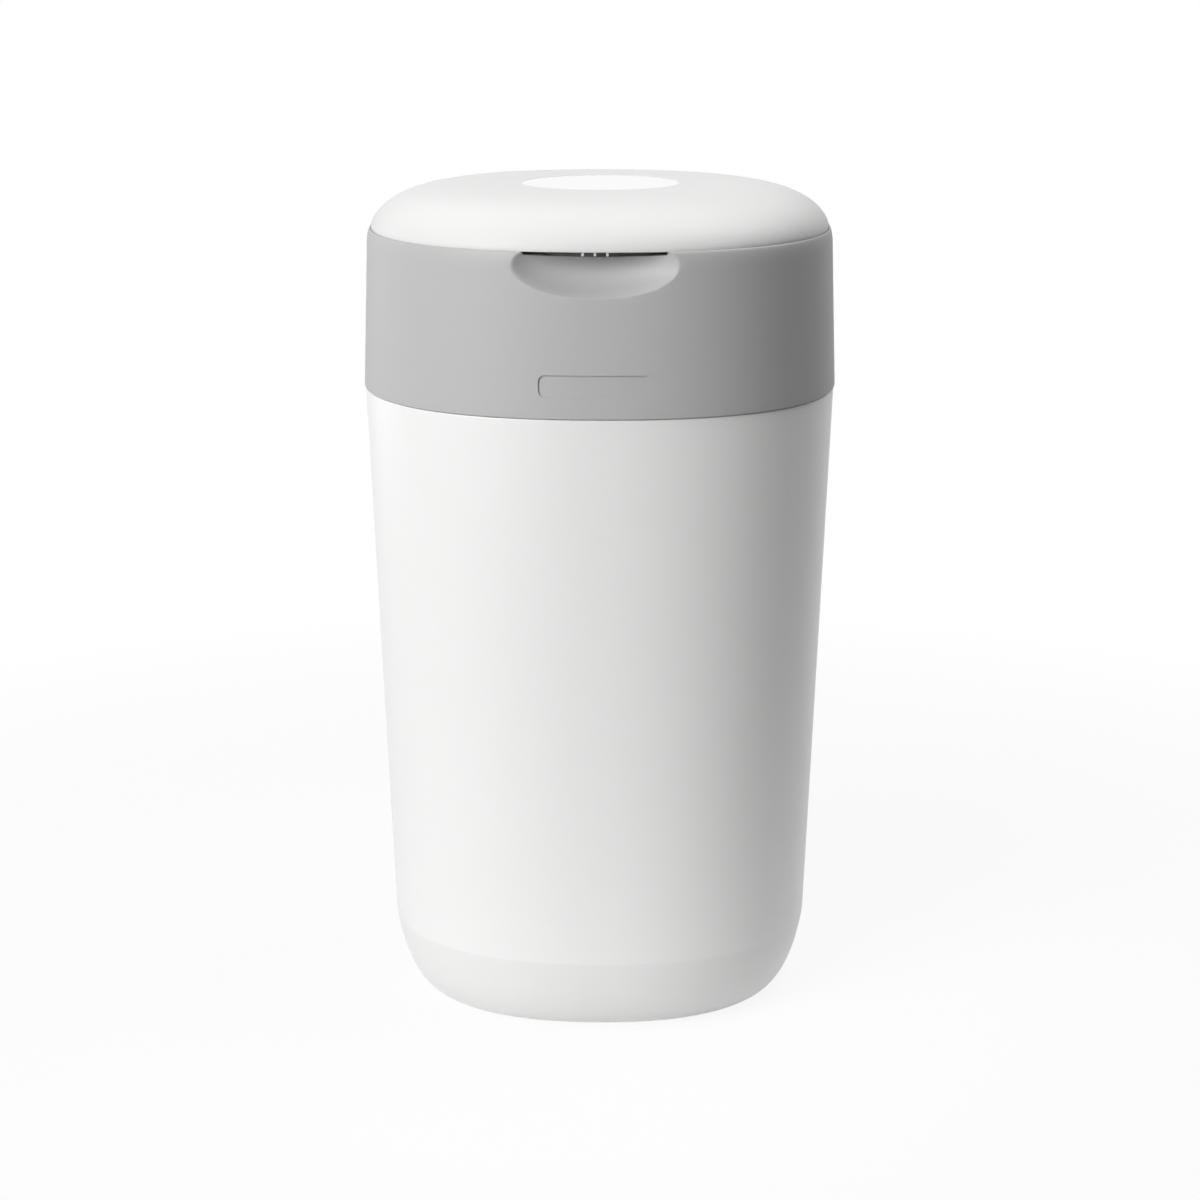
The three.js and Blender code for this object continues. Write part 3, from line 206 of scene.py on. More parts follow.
def box_tool(name, size, centre):
    bm = bmesh.new()
    bmesh.ops.create_cube(bm, size=1)
    return moved(name, bm, centre, Matrix.Diagonal((*in_metres(size), 1)))


def ball_tool(name, half_sizes, centre):
    bm = bmesh.new()
    bmesh.ops.create_uvsphere(bm, u_segments=BALL_STEPS, v_segments=BALL_STEPS // 2, radius=1)
    return moved(name, bm, centre, Matrix.Diagonal((*in_metres(half_sizes), 1)))


def cylinder(name, radius, length, turn, centre, steps=CYLINDER_STEPS):
    bm = bmesh.new()
    thick = radius * MM
    bmesh.ops.create_cone(
        bm, cap_ends=True, segments=steps, radius1=thick, radius2=thick, depth=length * MM,
    )
    return moved(name, bm, centre, turn)


def rod(name, radius, length, x, axis):
    """A cylinder along X, on an axis given as y and z."""
    return cylinder(name, radius, length, Matrix.Rotation(math.pi / 2, 4, "Y"), (x, *axis))


def post(name, radius, low, high, spot):
    """An upright cylinder at a spot given as x and y."""
    return cylinder(name, radius, high - low, Matrix.Identity(4), (*spot, (low + high) / 2))


def prism(name, outline, low, high, turn=None):
    """An outline in X and Y, pulled up from low to high, and then turned."""
    count = len(outline)
    points = [Vector((x, y, z)) * MM for z in (low, high) for x, y in outline]
    if turn:
        points = [turn @ point for point in points]
    faces = [tuple(reversed(range(count))), tuple(range(count, 2 * count))]
    faces += [(i, (i + 1) % count, (i + 1) % count + count, i + count) for i in range(count)]
    return made_object(name, points, faces)


def turned(obj, angle):
    """Turns a mesh about the bin's upright axis."""
    obj.data.transform(Matrix.Rotation(angle, 4, "Z"))
    return obj


def baked(obj):
    """Applies an object's modifiers to its mesh."""
    bpy.context.view_layer.update()
    graph = bpy.context.evaluated_depsgraph_get()
    mesh = bpy.data.meshes.new_from_object(obj.evaluated_get(graph))
    obj.modifiers.clear()
    old = obj.data
    obj.data = mesh
    bpy.data.meshes.remove(old)


def carve(obj, tool, operation="DIFFERENCE"):
    """Joins or cuts with a tool, which is then deleted."""
    cut = obj.modifiers.new("cut", "BOOLEAN")
    cut.operation = operation
    cut.solver = "MANIFOLD"
    cut.object = tool
    baked(obj)
    bpy.data.objects.remove(tool)


def eased(obj, width, segments=3):
    """Rounds the sharp edges of a plain solid."""
    bevel = obj.modifiers.new("edge", "BEVEL")
    bevel.width = width * MM
    bevel.segments = segments
    bevel.limit_method = "ANGLE"
    bevel.angle_limit = CUT_EDGE_ANGLE
    bevel.harden_normals = True


# Materials

COAT_ROUGHNESS = 0.3
DRIFT_SCALE = 9
DRIFT_DETAIL = 3
GRAIN_DETAIL = 2
GRAIN_DEPTH_M = 0.0002


def set_inputs(node, values):
    for name, value in values.items():
        node.inputs[name].default_value = value


def add_node(tree, kind, operation=None, **values):
    """Adds a shader node. An input's name is given with an underscore for each space."""
    node = tree.nodes.new("ShaderNode" + kind)
    if operation:
        node.operation = operation
    set_inputs(node, {name.replace("_", " "): value for name, value in values.items()})
    return node


def add_ramp(tree, source, target):
    """Adds a node that maps one range of values to another."""
    return add_node(
        tree, "MapRange", From_Min=source[0], From_Max=source[1], To_Min=target[0], To_Max=target[1],
    )


def finish(name, colour, roughness, grain=0.05, grain_scale=1400, sheen_spots=0.06, coat=0, specular=0.5,
           metallic=0):
    """A surface with a fine grain, and with roughness that drifts a little over it."""
    made = bpy.data.materials.new(name)
    made.use_nodes = True
    tree = made.node_tree
    shader = tree.nodes["Principled BSDF"]
    set_inputs(shader, {
        "Base Color": (*colour, 1),
        "Metallic": metallic,
        "Specular IOR Level": specular,
        "Coat Weight": coat,
        "Coat Roughness": COAT_ROUGHNESS,
    })
    where = add_node(tree, "TexCoord")
    drift = add_node(tree, "TexNoise", Scale=DRIFT_SCALE, Detail=DRIFT_DETAIL)
    spread = add_ramp(tree, (0, 1), (roughness - sheen_spots / 2, roughness + sheen_spots / 2))
    fine = add_node(tree, "TexNoise", Scale=grain_scale, Detail=GRAIN_DETAIL)
    bump = add_node(tree, "Bump", Strength=grain, Distance=GRAIN_DEPTH_M)
    link = tree.links.new
    link(where.outputs["Object"], drift.inputs["Vector"])
    link(where.outputs["Object"], fine.inputs["Vector"])
    link(drift.outputs["Fac"], spread.inputs["Value"])
    link(spread.outputs["Result"], shader.inputs["Roughness"])
    link(fine.outputs["Fac"], bump.inputs["Height"])
    link(bump.outputs["Normal"], shader.inputs["Normal"])
    return made


WHITE = finish("white_satin_plastic", (0.86, 0.86, 0.855), 0.42, coat=0.4)
# Below the tub's crease: the same white, painted a little darker as shade, for the surface that turns
# downward there
FOOT_PAINTED_SHADE = finish("white_plastic_painted_shade_below_crease", (0.83, 0.83, 0.825), 0.45, coat=0.4)
# The lid: the same white as the tub, painted darker as shade, so that its top, which faces the lamps
# most, is not lit brighter than the walls
LID_WHITE_PAINTED_SHADE = finish("white_plastic_painted_lid_shade", (0.76, 0.76, 0.755), 0.5, grain=0.02, specular=0.3)
POLISHED = finish("polished_white_plastic", (0.9, 0.9, 0.895), 0.2, grain=0, sheen_spots=0.02)
GREY = finish("grey_satin_plastic", (0.49, 0.49, 0.49), 0.5, specular=0.4)
MECHANISM = finish("mechanism_plastic", (0.12, 0.125, 0.13), 0.45)
CASSETTE = finish("cassette_plastic", (0.68, 0.72, 0.7), 0.3)
FILM = finish("film_plastic", (0.5, 0.7, 0.56), 0.3)
RUBBER = finish("soft_rubber", (0.1, 0.105, 0.11), 0.75, specular=0.3)
STEEL = finish("plain_steel", (0.6, 0.6, 0.61), 0.32, grain=0.08, grain_scale=700, metallic=1)


def dress(obj, material):
    obj.data.materials.clear()
    obj.data.materials.append(material)


def smoothed(obj):
    for face in obj.data.polygons:
        face.use_smooth = True


def place(obj, body, material, node):
    """Finishes a piece, and puts it on its body in place of a node of the frame."""
    smoothed(obj)
    obj.data.set_sharp_from_angle(angle=SHARP_ANGLE)
    dress(obj, material)
    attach(obj, body)
    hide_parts(node)


# Sizes shared by the pieces, with heights taken from the floor

RUNNING_GAP = 0.6
OVERRUN = 6  # how far a tool runs past what it cuts
HEAD_WALL = 2.4
TUB_HEIGHT = HEAD_FOOT - SEAT_GAP
LAND_DROP = 1.2  # from the collar's crest down to the land below the lid
LAND_Z = HEAD_FOOT + HEAD_HEIGHT - LAND_DROP
WELL_INSET = 17.4  # of the upright wall inside the collar
DECK_RISE = 53.1
DECK_TOP = HEAD_FOOT + DECK_RISE
DECK_THICKNESS = 2.5
UNDER_DECK = DECK_TOP - DECK_THICKNESS - SEAT_GAP
HEAD_AXIS_INSET = 0.5
HEAD_AXIS_RISE = 4.7
HEAD_AXIS = (HALF_DEPTH - HEAD_AXIS_INSET, TUB_HEIGHT + HEAD_AXIS_RISE)
LID_AXIS_DROP = 4
LID_AXIS = (HALF_DEPTH, HEAD_FOOT + HEAD_HEIGHT - LID_AXIS_DROP)
HEAD_KNUCKLE = {"radius": 4.2, "width": 24, "ear": 19, "pin": 1.6}
LID_KNUCKLE = {"radius": 4, "width": 28, "ear": 11, "pin": 1.5}
PIN_EDGE = 0.3
SCREW_RADIUS = 1.6
PILLAR_INSET = 9.7
CATCH_WIDTH = 36  # of the bead in the collar that snaps into a groove in the tub
CATCH_HEIGHT = 2
CATCH_REACH = 0.9
CATCH_RISE = 3
SPIGOT_HEIGHT = 7  # of the tub's rim, which stands up inside the collar
SPIGOT_STANDOFF = 0.8
SPIGOT_INSET = HEAD_WALL + SPIGOT_STANDOFF
SLEEVE_SKIRT_RADIUS = 74.2
SLEEVE_SKIRT_WALL = 2.2

# The plan's four corners, where most screws stand
CORNER_ANGLES = [math.radians(45 + 90 * i) for i in range(4)]
PILLAR_PLACES = [plan_point(*level(PILLAR_INSET, 0)[:3], angle) for angle in CORNER_ANGLES]


def pin(name, knuckle, axis, body, node):
    length = knuckle["width"] + 2 * knuckle["ear"]
    made = rod(name, knuckle["pin"], length, 0, axis)
    eased(made, PIN_EDGE)
    place(made, body, STEEL, node)


# Tub

TUB_WALL = 2.4
TUB_EDGE = 0.7
HEAD_OVERHANG = 1.3  # inset of the wall at its top
CREASE_HEIGHT = 41
CREASE_INSET = 12.8
CREASE_ANGLE = math.radians(25)
CREASE_SOFTNESS = 0.9  # height of the band on each side that shades into it
BOTTOM_INSET = 33.6
FOOT_RING_WIDTH = 10
FOOT_RECESS = 3
SPIGOT_WALL = 2
SPIGOT_NOTCH_WIDTH = 140
RIM_DEPTH = 14
ROOT_HEIGHT = 16  # of the web that carries the knuckle
ROOT_DEPTH = 3.6


def make_tub():
    reach = BOTTOM_INSET - CREASE_INSET
    lined = CREASE_INSET + TUB_WALL
    floor = FOOT_RECESS + TUB_WALL
    outer = rounding(CREASE_INSET, CREASE_HEIGHT, reach, -CREASE_HEIGHT, CREASE_ANGLE)
    inner = rounding(lined, CREASE_HEIGHT, reach, floor - CREASE_HEIGHT, CREASE_ANGLE)
    recess = BOTTOM_INSET + FOOT_RING_WIDTH
    rim = SPIGOT_INSET + SPIGOT_WALL
    top = TUB_HEIGHT + SPIGOT_HEIGHT
    crease = level(CREASE_INSET, CREASE_HEIGHT)
    shoulder = level(HEAD_OVERHANG, TUB_HEIGHT)
    section = [
        level(recess + FOOT_RECESS, FOOT_RECESS),
        level(recess, 0),
        *reversed(outer),
        between(crease, outer[0], CREASE_SOFTNESS / (crease[3] - outer[0][3])),
        crease,
        between(crease, shoulder, CREASE_SOFTNESS / (shoulder[3] - crease[3])),
        shoulder,
        level(SPIGOT_INSET, TUB_HEIGHT),
        level(SPIGOT_INSET, top),
        level(rim, top),
        level(rim, TUB_HEIGHT - RIM_DEPTH / 2),
        level(HEAD_OVERHANG + TUB_WALL, TUB_HEIGHT - RIM_DEPTH),
        level(lined, CREASE_HEIGHT),
        *inner,
    ]
    tub = skin("tub_wall", softened(section, TUB_EDGE, closed=False), closed=False)
    notch = (SPIGOT_NOTCH_WIDTH, HALF_DEPTH, 2 * SPIGOT_HEIGHT)
    carve(tub, box_tool("notch", notch, (0, HALF_DEPTH / 2, top)))
    groove = (CATCH_WIDTH + 2 * RUNNING_GAP, 2 * CATCH_REACH, CATCH_HEIGHT + 2 * RUNNING_GAP)
    carve(tub, box_tool("groove", groove, (0, SPIGOT_INSET - HALF_DEPTH, HEAD_FOOT + CATCH_RISE)))
    y, z = HEAD_AXIS
    width = HEAD_KNUCKLE["width"]
    web = (width, ROOT_DEPTH, ROOT_HEIGHT)
    carve(tub, box_tool("web", web, (0, y - ROOT_DEPTH / 4, z - ROOT_HEIGHT / 2)), "UNION")
    carve(tub, rod("knuckle", HEAD_KNUCKLE["radius"], width, 0, HEAD_AXIS), "UNION")
    carve(tub, rod("bore", HEAD_KNUCKLE["pin"] + SEAT_GAP, width + OVERRUN, 0, HEAD_AXIS))
    place(tub, "tub", WHITE, "tub_shell")
    # The faces below the crease take the darker white, which is painted shade
    tub.data.materials.append(FOOT_PAINTED_SHADE)
    for face in tub.data.polygons:
        if face.center.z < CREASE_HEIGHT * MM:
            face.material_index = 1


make_tub()
pin("tub_pin", HEAD_KNUCKLE, HEAD_AXIS, "tub", "head_hinge_pin")

# Head

HEAD_EDGE = 0.5
HEAD_START = 0.7  # inset of the wall at its foot
HEAD_TAPER = 3.2  # inset of the wall at its shoulder
SHOULDER_DROP = 10
SHOULDER_REACH = 2.1
SHOULDER_STEPS = 16
WALL_STEPS = 14
LAND_START = 5.45
REBATE_DEPTH = 0.9  # how far the land is sunk, for a line of shadow under the lid
PILLAR_RADIUS = 4.2
PILOT_SPARE = 2  # how far a screw's hole runs past its tip
SCREW_LENGTH = 12
LID_INSET = 5.5
LID_ARM_BITE = 1.9  # how far the lid's arm runs into its edge

# Badge, a shallow bare panel

BADGE_WIDTH = 57.2
BADGE_HEIGHT = 11.4
BADGE_CORNER = 3.4
BADGE_CORNER_STEPS = 8
BADGE_DEPTH = 0.8
BADGE_RISE = 16.7  # its middle, above the foot of the head

# Scoop, an ellipsoid's hollow with a slot through its back. Its rings lie close together near the rim.

SCOOP_HALF_SIZES = (51, 21.5, 17.8)
SCOOP_STANDOFF = 8  # its centre, in front of the wall
SCOOP_DROP = 6.4  # its centre, below the crest
SCOOP_WALL = 2.2
SCOOP_SHORTFALL = 1  # its own wall ends this far behind the well's surface
SCOOP_RIM = 1.1  # reach of the soft rim
SCOOP_SKIM = 0.04  # how far the tool stands in front of the wall around the rim
SCOOP_FLARE = 4  # how steeply it runs forward past the ellipsoid's widest ring
SCOOP_STEPS = 144
SCOOP_RING_SHARES = [0.1 * i for i in range(1, 8)] + [0.72 + 0.012 * i for i in range(34)]
SLOT_WIDTH = 72
SLOT_DEPTH = 2.6
SLOT_END_DEPTH = 0.8
SLOT_STEPS = 24


def badge_tool():
    """A rounded bar through the front wall that ends a little way behind its surface."""
    half_w = BADGE_WIDTH / 2 - BADGE_CORNER
    half_h = BADGE_HEIGHT / 2 - BADGE_CORNER
    outline = []
    for corner, (cx, cz) in enumerate(((1, 1), (-1, 1), (-1, -1), (1, -1))):
        for i in range(BADGE_CORNER_STEPS + 1):
            angle = (corner + i / BADGE_CORNER_STEPS) * math.pi / 2
            outline.append((cx * half_w + BADGE_CORNER * math.cos(angle),
                            cz * half_h + BADGE_CORNER * math.sin(angle)))
    upright = Matrix.Rotation(math.pi / 2, 4, "X")
    tool = prism("badge_tool", outline, HALF_DEPTH / 2, HALF_DEPTH + OVERRUN, upright)
    tool.data.transform(Matrix.Translation((0, 0, (HEAD_FOOT + BADGE_RISE) * MM)))
    behind = [level(HEAD_START + BADGE_DEPTH, HEAD_FOOT),
              level(BADGE_DEPTH + HEAD_TAPER, HEAD_FOOT + HEAD_HEIGHT - SHOULDER_DROP)]
    carve(tool, skin("behind", behind, closed=False))
    return tool


def wall_depth(x, z):
    """How far forward the collar's front wall stands at a place on it."""
    shoulder = HEAD_FOOT + HEAD_HEIGHT - SHOULDER_DROP
    if z < shoulder:
        inset = HEAD_START + (HEAD_TAPER - HEAD_START) * (z - HEAD_FOOT) / (shoulder - HEAD_FOOT)
    else:
        rise = min((z - shoulder) / SHOULDER_DROP, 1)
        inset = HEAD_TAPER + SHOULDER_REACH * (1 - math.sqrt(1 - rise ** 2))
    across = abs(x) / (HALF_WIDTH - inset)
    return -(HALF_DEPTH - inset) * (1 - across ** PLAN_POWER) ** (1 / PLAN_POWER)


def scoop_tool(centre):
    """The scoop's hollow, which meets the wall in a soft rim."""
    _, middle_y, middle_z = centre
    half_x, half_y, half_z = SCOOP_HALF_SIZES
    steps = SCOOP_STEPS
    points = [(0, middle_y + half_y, middle_z)]
    for share in SCOOP_RING_SHARES:
        depth = math.sqrt(1 - share ** 2) if share < 1 else SCOOP_FLARE * (1 - share)
        bowl = middle_y + half_y * depth
        for i in range(steps):
            angle = 2 * math.pi * i / steps
            x = half_x * share * math.cos(angle)
            z = middle_z + half_z * share * math.sin(angle)
            wall = wall_depth(x, z) - SCOOP_SKIM
            blend = max(SCOOP_RIM - abs(bowl - wall), 0) / SCOOP_RIM
            points.append((x, max(bowl, wall) + blend ** 2 * SCOOP_RIM / 4, z))
    front = -HALF_DEPTH - OVERRUN
    last = len(points) - steps
    points += [(points[last + i][0], front, points[last + i][2]) for i in range(steps)]
    faces = [(0, 1 + i, 1 + (i + 1) % steps) for i in range(steps)]
    for ring in range(len(SCOOP_RING_SHARES)):
        low = 1 + ring * steps
        high = low + steps
        for i in range(steps):
            j = (i + 1) % steps
            faces.append((low + i, high + i, high + j, low + j))
    faces.append(tuple(len(points) - 1 - i for i in range(steps)))
    outward = [face[::-1] for face in faces]
    return made_object("scoop", [Vector(point) * MM for point in points], outward)


def slot_tool():
    """The slot through the back of the scoop, with a floor that sinks towards its middle."""
    end = SLOT_WIDTH / 2
    outline = [(end, LAND_Z + OVERRUN), (-end, LAND_Z + OVERRUN)]
    for i in range(SLOT_STEPS + 1):
        share = 2 * i / SLOT_STEPS - 1
        sink = SLOT_END_DEPTH + (SLOT_DEPTH - SLOT_END_DEPTH) * (1 - share ** 2)
        outline.append((end * share, LAND_Z - sink))
    high = HALF_DEPTH - LAND_START
    return prism("slot", outline, high - WELL_INSET, high, Matrix.Rotation(math.pi / 2, 4, "X"))


def add_bowl(collar):
    """The finger scoop, with a wall of its own behind it, and the slot below the lid."""
    centre = (0, -(HALF_DEPTH - HEAD_TAPER) - SCOOP_STANDOFF, HEAD_FOOT + HEAD_HEIGHT - SCOOP_DROP)
    bowl = ball_tool("bowl", [one + SCOOP_WALL for one in SCOOP_HALF_SIZES], centre)
    inset = HEAD_TAPER + HEAD_WALL / 2
    body = [level(inset, HEAD_FOOT + SHOULDER_DROP), level(inset, LAND_Z)]
    carve(bowl, skin("body", body, closed=False), "INTERSECT")
    inner = [level(WELL_INSET - SCOOP_SHORTFALL, z) for z in (HEAD_FOOT, LAND_Z + OVERRUN)]
    carve(bowl, skin("inner", inner, closed=False))
    carve(collar, bowl, "UNION")
    carve(collar, scoop_tool(centre))
    carve(collar, slot_tool())


def add_pillars(collar, low, high):
    for spot in PILLAR_PLACES:
        carve(collar, post("pillar", PILLAR_RADIUS, low, high, spot), "UNION")
    pilot_top = UNDER_DECK + SCREW_LENGTH + PILOT_SPARE
    for spot in PILLAR_PLACES:
        carve(collar, post("pilot", SCREW_RADIUS + SEAT_GAP, low - OVERRUN, pilot_top, spot))


def add_ears(collar):
    """Opens the back for both knuckles, and adds an ear on each side of them."""
    y, z = HEAD_AXIS
    reach = HEAD_KNUCKLE["radius"] + RUNNING_GAP
    width = HEAD_KNUCKLE["width"] + 2 * RUNNING_GAP
    low_slot = (width, 2 * reach + OVERRUN, z + reach - HEAD_FOOT + OVERRUN)
    carve(collar, box_tool("low_slot", low_slot, (0, y, (z + reach + HEAD_FOOT - OVERRUN) / 2)))
    foot = LID_AXIS[1] - LID_KNUCKLE["radius"] - RUNNING_GAP
    top = HEAD_FOOT + HEAD_HEIGHT + OVERRUN
    depth = LID_INSET + LID_ARM_BITE + RUNNING_GAP + OVERRUN
    high_slot = (LID_KNUCKLE["width"] + 2 * RUNNING_GAP, depth, top - foot)
    high_centre = (0, HALF_DEPTH + OVERRUN - depth / 2, (top + foot) / 2)
    carve(collar, box_tool("high_slot", high_slot, high_centre))
    for knuckle, axis in ((HEAD_KNUCKLE, HEAD_AXIS), (LID_KNUCKLE, LID_AXIS)):
        x = knuckle["width"] / 2 + RUNNING_GAP + knuckle["ear"] / 2
        for side in (-1, 1):
            carve(collar, rod("ear", knuckle["radius"], knuckle["ear"], side * x, axis), "UNION")
        carve(collar, rod("bore", knuckle["pin"] + SEAT_GAP, 2 * (x + knuckle["ear"]), 0, axis))


def make_collar():
    shoulder = HEAD_FOOT + HEAD_HEIGHT - SHOULDER_DROP
    land = LAND_Z - REBATE_DEPTH
    well_end = DECK_TOP + SEAT_GAP
    under = LAND_Z - HEAD_WALL
    section = [
        level(HEAD_WALL, HEAD_FOOT),
        *straight(level(HEAD_START, HEAD_FOOT), level(HEAD_TAPER, shoulder), WALL_STEPS),
        *rounding(HEAD_TAPER, shoulder, SHOULDER_REACH, SHOULDER_DROP, steps=SHOULDER_STEPS),
        level(LAND_START, LAND_Z),
        level(LAND_START + REBATE_DEPTH / 4, land),
        level(WELL_INSET, land),
        level(WELL_INSET, well_end),
        level(WELL_INSET - HEAD_WALL, well_end),
        level(WELL_INSET - HEAD_WALL, under),
        level(HEAD_TAPER + SHOULDER_REACH + HEAD_WALL, under),
        level(HEAD_TAPER + HEAD_WALL, shoulder),
    ]
    collar = skin("head_wall", softened(section, HEAD_EDGE))
    add_bowl(collar)
    bead_depth = HEAD_WALL / 2 + CATCH_REACH
    bead_y = SEAT_GAP + (HEAD_WALL + bead_depth) / 2 - HALF_DEPTH
    bead = (CATCH_WIDTH, bead_depth, CATCH_HEIGHT)
    carve(collar, box_tool("bead", bead, (0, bead_y, HEAD_FOOT + CATCH_RISE)), "UNION")
    add_pillars(collar, well_end, under + HEAD_WALL / 2)
    carve(collar, badge_tool())
    add_ears(collar)
    place(collar, "head", GREY, "head_collar")


make_collar()
pin("lid_pin", LID_KNUCKLE, LID_AXIS, "head", "lid_hinge_pin")

# Deck

DECK_INSET = 6
DECK_EDGE = 0.4
DECK_HOLE_RADIUS = 86
CUTTER_INSET = 22.7
CUTTER_SCREW_PITCH = 20
CUTTER_SCREW_LENGTH = 6
RATCHET_TIP_RADIUS = 96.1
SPRING_HEIGHT = 3.4
SPRING_SCREW_STANDOFF = 8.5  # outside the tips of the ratchet teeth
SPRING_ANGLE = math.radians(-60)
SPRING_SCREW_PLACE = polar(RATCHET_TIP_RADIUS + SPRING_SCREW_STANDOFF, SPRING_ANGLE)


def cutter_screw_places():
    """Two places beside each other, across the front left corner."""
    half_width, half_depth, power, _ = level(CUTTER_INSET, 0)
    x, y = plan_point(half_width, half_depth, power, CORNER_ANGLES[2])
    along = math.atan2(-half_width, -half_depth) + math.pi / 2
    steps = [polar(side * CUTTER_SCREW_PITCH / 2, along) for side in (-1, 1)]
    return [(x + dx, y + dy) for dx, dy in steps]


def make_deck():
    low = DECK_TOP - DECK_THICKNESS
    section = [
        level(DECK_INSET, low),
        level(DECK_INSET, DECK_TOP),
        round_level(DECK_HOLE_RADIUS, DECK_TOP),
        round_level(DECK_HOLE_RADIUS, low),
    ]
    plate = skin("deck_plate", softened(section, DECK_EDGE))
    for spot in (*PILLAR_PLACES, SPRING_SCREW_PLACE, *cutter_screw_places()):
        carve(plate, post("hole", SCREW_RADIUS + SEAT_GAP, low - OVERRUN, DECK_TOP + OVERRUN, spot))
    place(plate, "head", GREY, "deck")


make_deck()

# Screws, each with a domed head below its shank and a cross recess

SCREW_HEAD_RADIUS = 3.3
SCREW_HEAD_HEIGHT = 2.2
SCREW_DOME_SHARES = ((0.6, 1), (0.85, 0.9), (0.97, 0.65), (1, 0.35), (1, 0))
CROSS_LENGTH = 3.6
CROSS_WIDTH = 0.8
CROSS_HEIGHT = 2


def make_screw(node, body, length, spot, z, head_up=False):
    low = -SCREW_HEAD_HEIGHT
    levels = [
        *(round_level(across * SCREW_HEAD_RADIUS, down * low) for across, down in SCREW_DOME_SHARES),
        round_level(SCREW_RADIUS, 0),
        round_level(SCREW_RADIUS, length - SCREW_RADIUS),
        round_level(SCREW_RADIUS / 3, length),
    ]
    made = skin("fine_" + node, levels, closed=False, steps=SCREW_STEPS)
    for size in ((CROSS_LENGTH, CROSS_WIDTH, CROSS_HEIGHT), (CROSS_WIDTH, CROSS_LENGTH, CROSS_HEIGHT)):
        carve(made, box_tool("cross", size, (0, 0, low)))
    move = Matrix.Translation(in_metres((*spot, z)))
    made.data.transform(move @ Matrix.Rotation(math.pi if head_up else 0, 4, "X"))
    place(made, body, STEEL, node)


for number, spot in enumerate(PILLAR_PLACES, 1):
    make_screw(f"deck_screw_{number}", "head", SCREW_LENGTH, spot, UNDER_DECK)
make_screw("click_spring_screw", "head", SPRING_HEIGHT + DECK_THICKNESS, SPRING_SCREW_PLACE,
           UNDER_DECK - SPRING_HEIGHT - SEAT_GAP)
for number, spot in enumerate(cutter_screw_places(), 1):
    make_screw(f"cutter_screw_{number}", "head", CUTTER_SCREW_LENGTH + DECK_THICKNESS + SEAT_GAP,
               spot, DECK_TOP + SEAT_GAP, head_up=True)

# Lid

LID_CORNER = 0.25
LID_GAP = 0.6
LID_EDGE = 1.2  # height of its upright edge
LID_EDGE_LIFT = 0.4  # of the wall's outer foot above its inner one
LID_WALL = 2.4
LID_BASE = LAND_Z + LID_GAP
DOME_PLAN_POWER = 6
DOME_RISE_POWER = 1.6
DOME_STEPS = 44
DOME_CORE_SHARE = 0.04
PATCH_HALF_SIZES = (42, 35)
PATCH_SINK = 0.15
RIB_COUNT = 3  # small ribs below the lid's front, which show in the scoop's slot
RIB_SIZE = (1.2, 5, 3.5)
RIB_DROP = 1.5
RIB_PITCH = 6.2
LID_ARM_RISE = 7.5
LID_EYE_STEPS = 32
LID_EYE_HALF_TURNS = 1.25


def dome_levels(inset, height):
    """The dome from its edge to a small flat core in its middle."""
    made = []
    for i in range(DOME_STEPS):
        share = 1 - (i / DOME_STEPS) ** 2 * (1 - DOME_CORE_SHARE)
        if i == DOME_STEPS - 1:
            share = DOME_CORE_SHARE
        rise = height * max(1 - share ** DOME_PLAN_POWER, 0) ** (1 / DOME_RISE_POWER)
        made.append(((HALF_WIDTH - inset) * share, (HALF_DEPTH - inset) * share, PLAN_POWER,
                     LID_BASE + LID_EDGE + rise))
    return made


def lid_arm():
    """The arm at the back of the lid, with the eye that turns on the pin."""
    y, z = LID_AXIS
    root = HALF_DEPTH - LID_INSET - LID_ARM_BITE
    radius = LID_KNUCKLE["radius"]
    outline = [(root, LID_BASE + LID_ARM_RISE), (root, LID_BASE + SEAT_GAP)]
    for i in range(LID_EYE_STEPS + 1):
        angle = math.pi * (1 + LID_EYE_HALF_TURNS * i / LID_EYE_STEPS)
        outline.append((y + radius * math.cos(angle), z + radius * math.sin(angle)))
    sideways = Matrix(((0, 0, 1, 0), (1, 0, 0, 0), (0, 1, 0, 0), (0, 0, 0, 1)))
    half = LID_KNUCKLE["width"] / 2
    return prism("arm", outline, -half, half, sideways)


def polish_patch(lid):
    """Gives the floor of the oval patch its own finish."""
    lid.data.materials.append(POLISHED)
    for face in lid.data.polygons:
        x, y, z = face.center / MM
        in_patch = math.hypot(x / PATCH_HALF_SIZES[0], y / PATCH_HALF_SIZES[1]) < 1
        faces_up = face.normal.z > 0.5
        if in_patch and faces_up and z > LID_TOP - 2 * PATCH_SINK:
            face.material_index = 1


def make_lid():
    height = LID_TOP - LID_BASE - LID_EDGE
    section = [
        *reversed(dome_levels(LID_INSET + LID_WALL, height - LID_WALL)),
        level(LID_INSET + LID_WALL, LID_BASE),
        level(LID_INSET, LID_BASE + LID_EDGE_LIFT),
        *dome_levels(LID_INSET, height),
    ]
    lid = skin("lid_dome", softened(section, LID_CORNER, closed=False), closed=False)
    patch = [(*PATCH_HALF_SIZES, 2, LID_TOP + z) for z in (-PATCH_SINK, PATCH_SINK)]
    carve(lid, skin("patch", patch, closed=False))
    carve(lid, lid_arm(), "UNION")
    _, rib_depth, rib_height = RIB_SIZE
    front = LID_INSET + LID_WALL / 2 - HALF_DEPTH
    for i in range(RIB_COUNT):
        x = (i - (RIB_COUNT - 1) / 2) * RIB_PITCH
        rib_place = (x, front + rib_depth / 2, LID_BASE + rib_height / 2 - RIB_DROP)
        carve(lid, box_tool("rib", RIB_SIZE, rib_place), "UNION")
    bore = LID_KNUCKLE["pin"] + SEAT_GAP
    carve(lid, rod("bore", bore, LID_KNUCKLE["width"] + OVERRUN, 0, LID_AXIS))
    # The lid takes the white that is painted darker as shade
    place(lid, "lid", LID_WHITE_PAINTED_SHADE, "lid_shell")
    polish_patch(lid)


make_lid()

# Lid liner and its seal

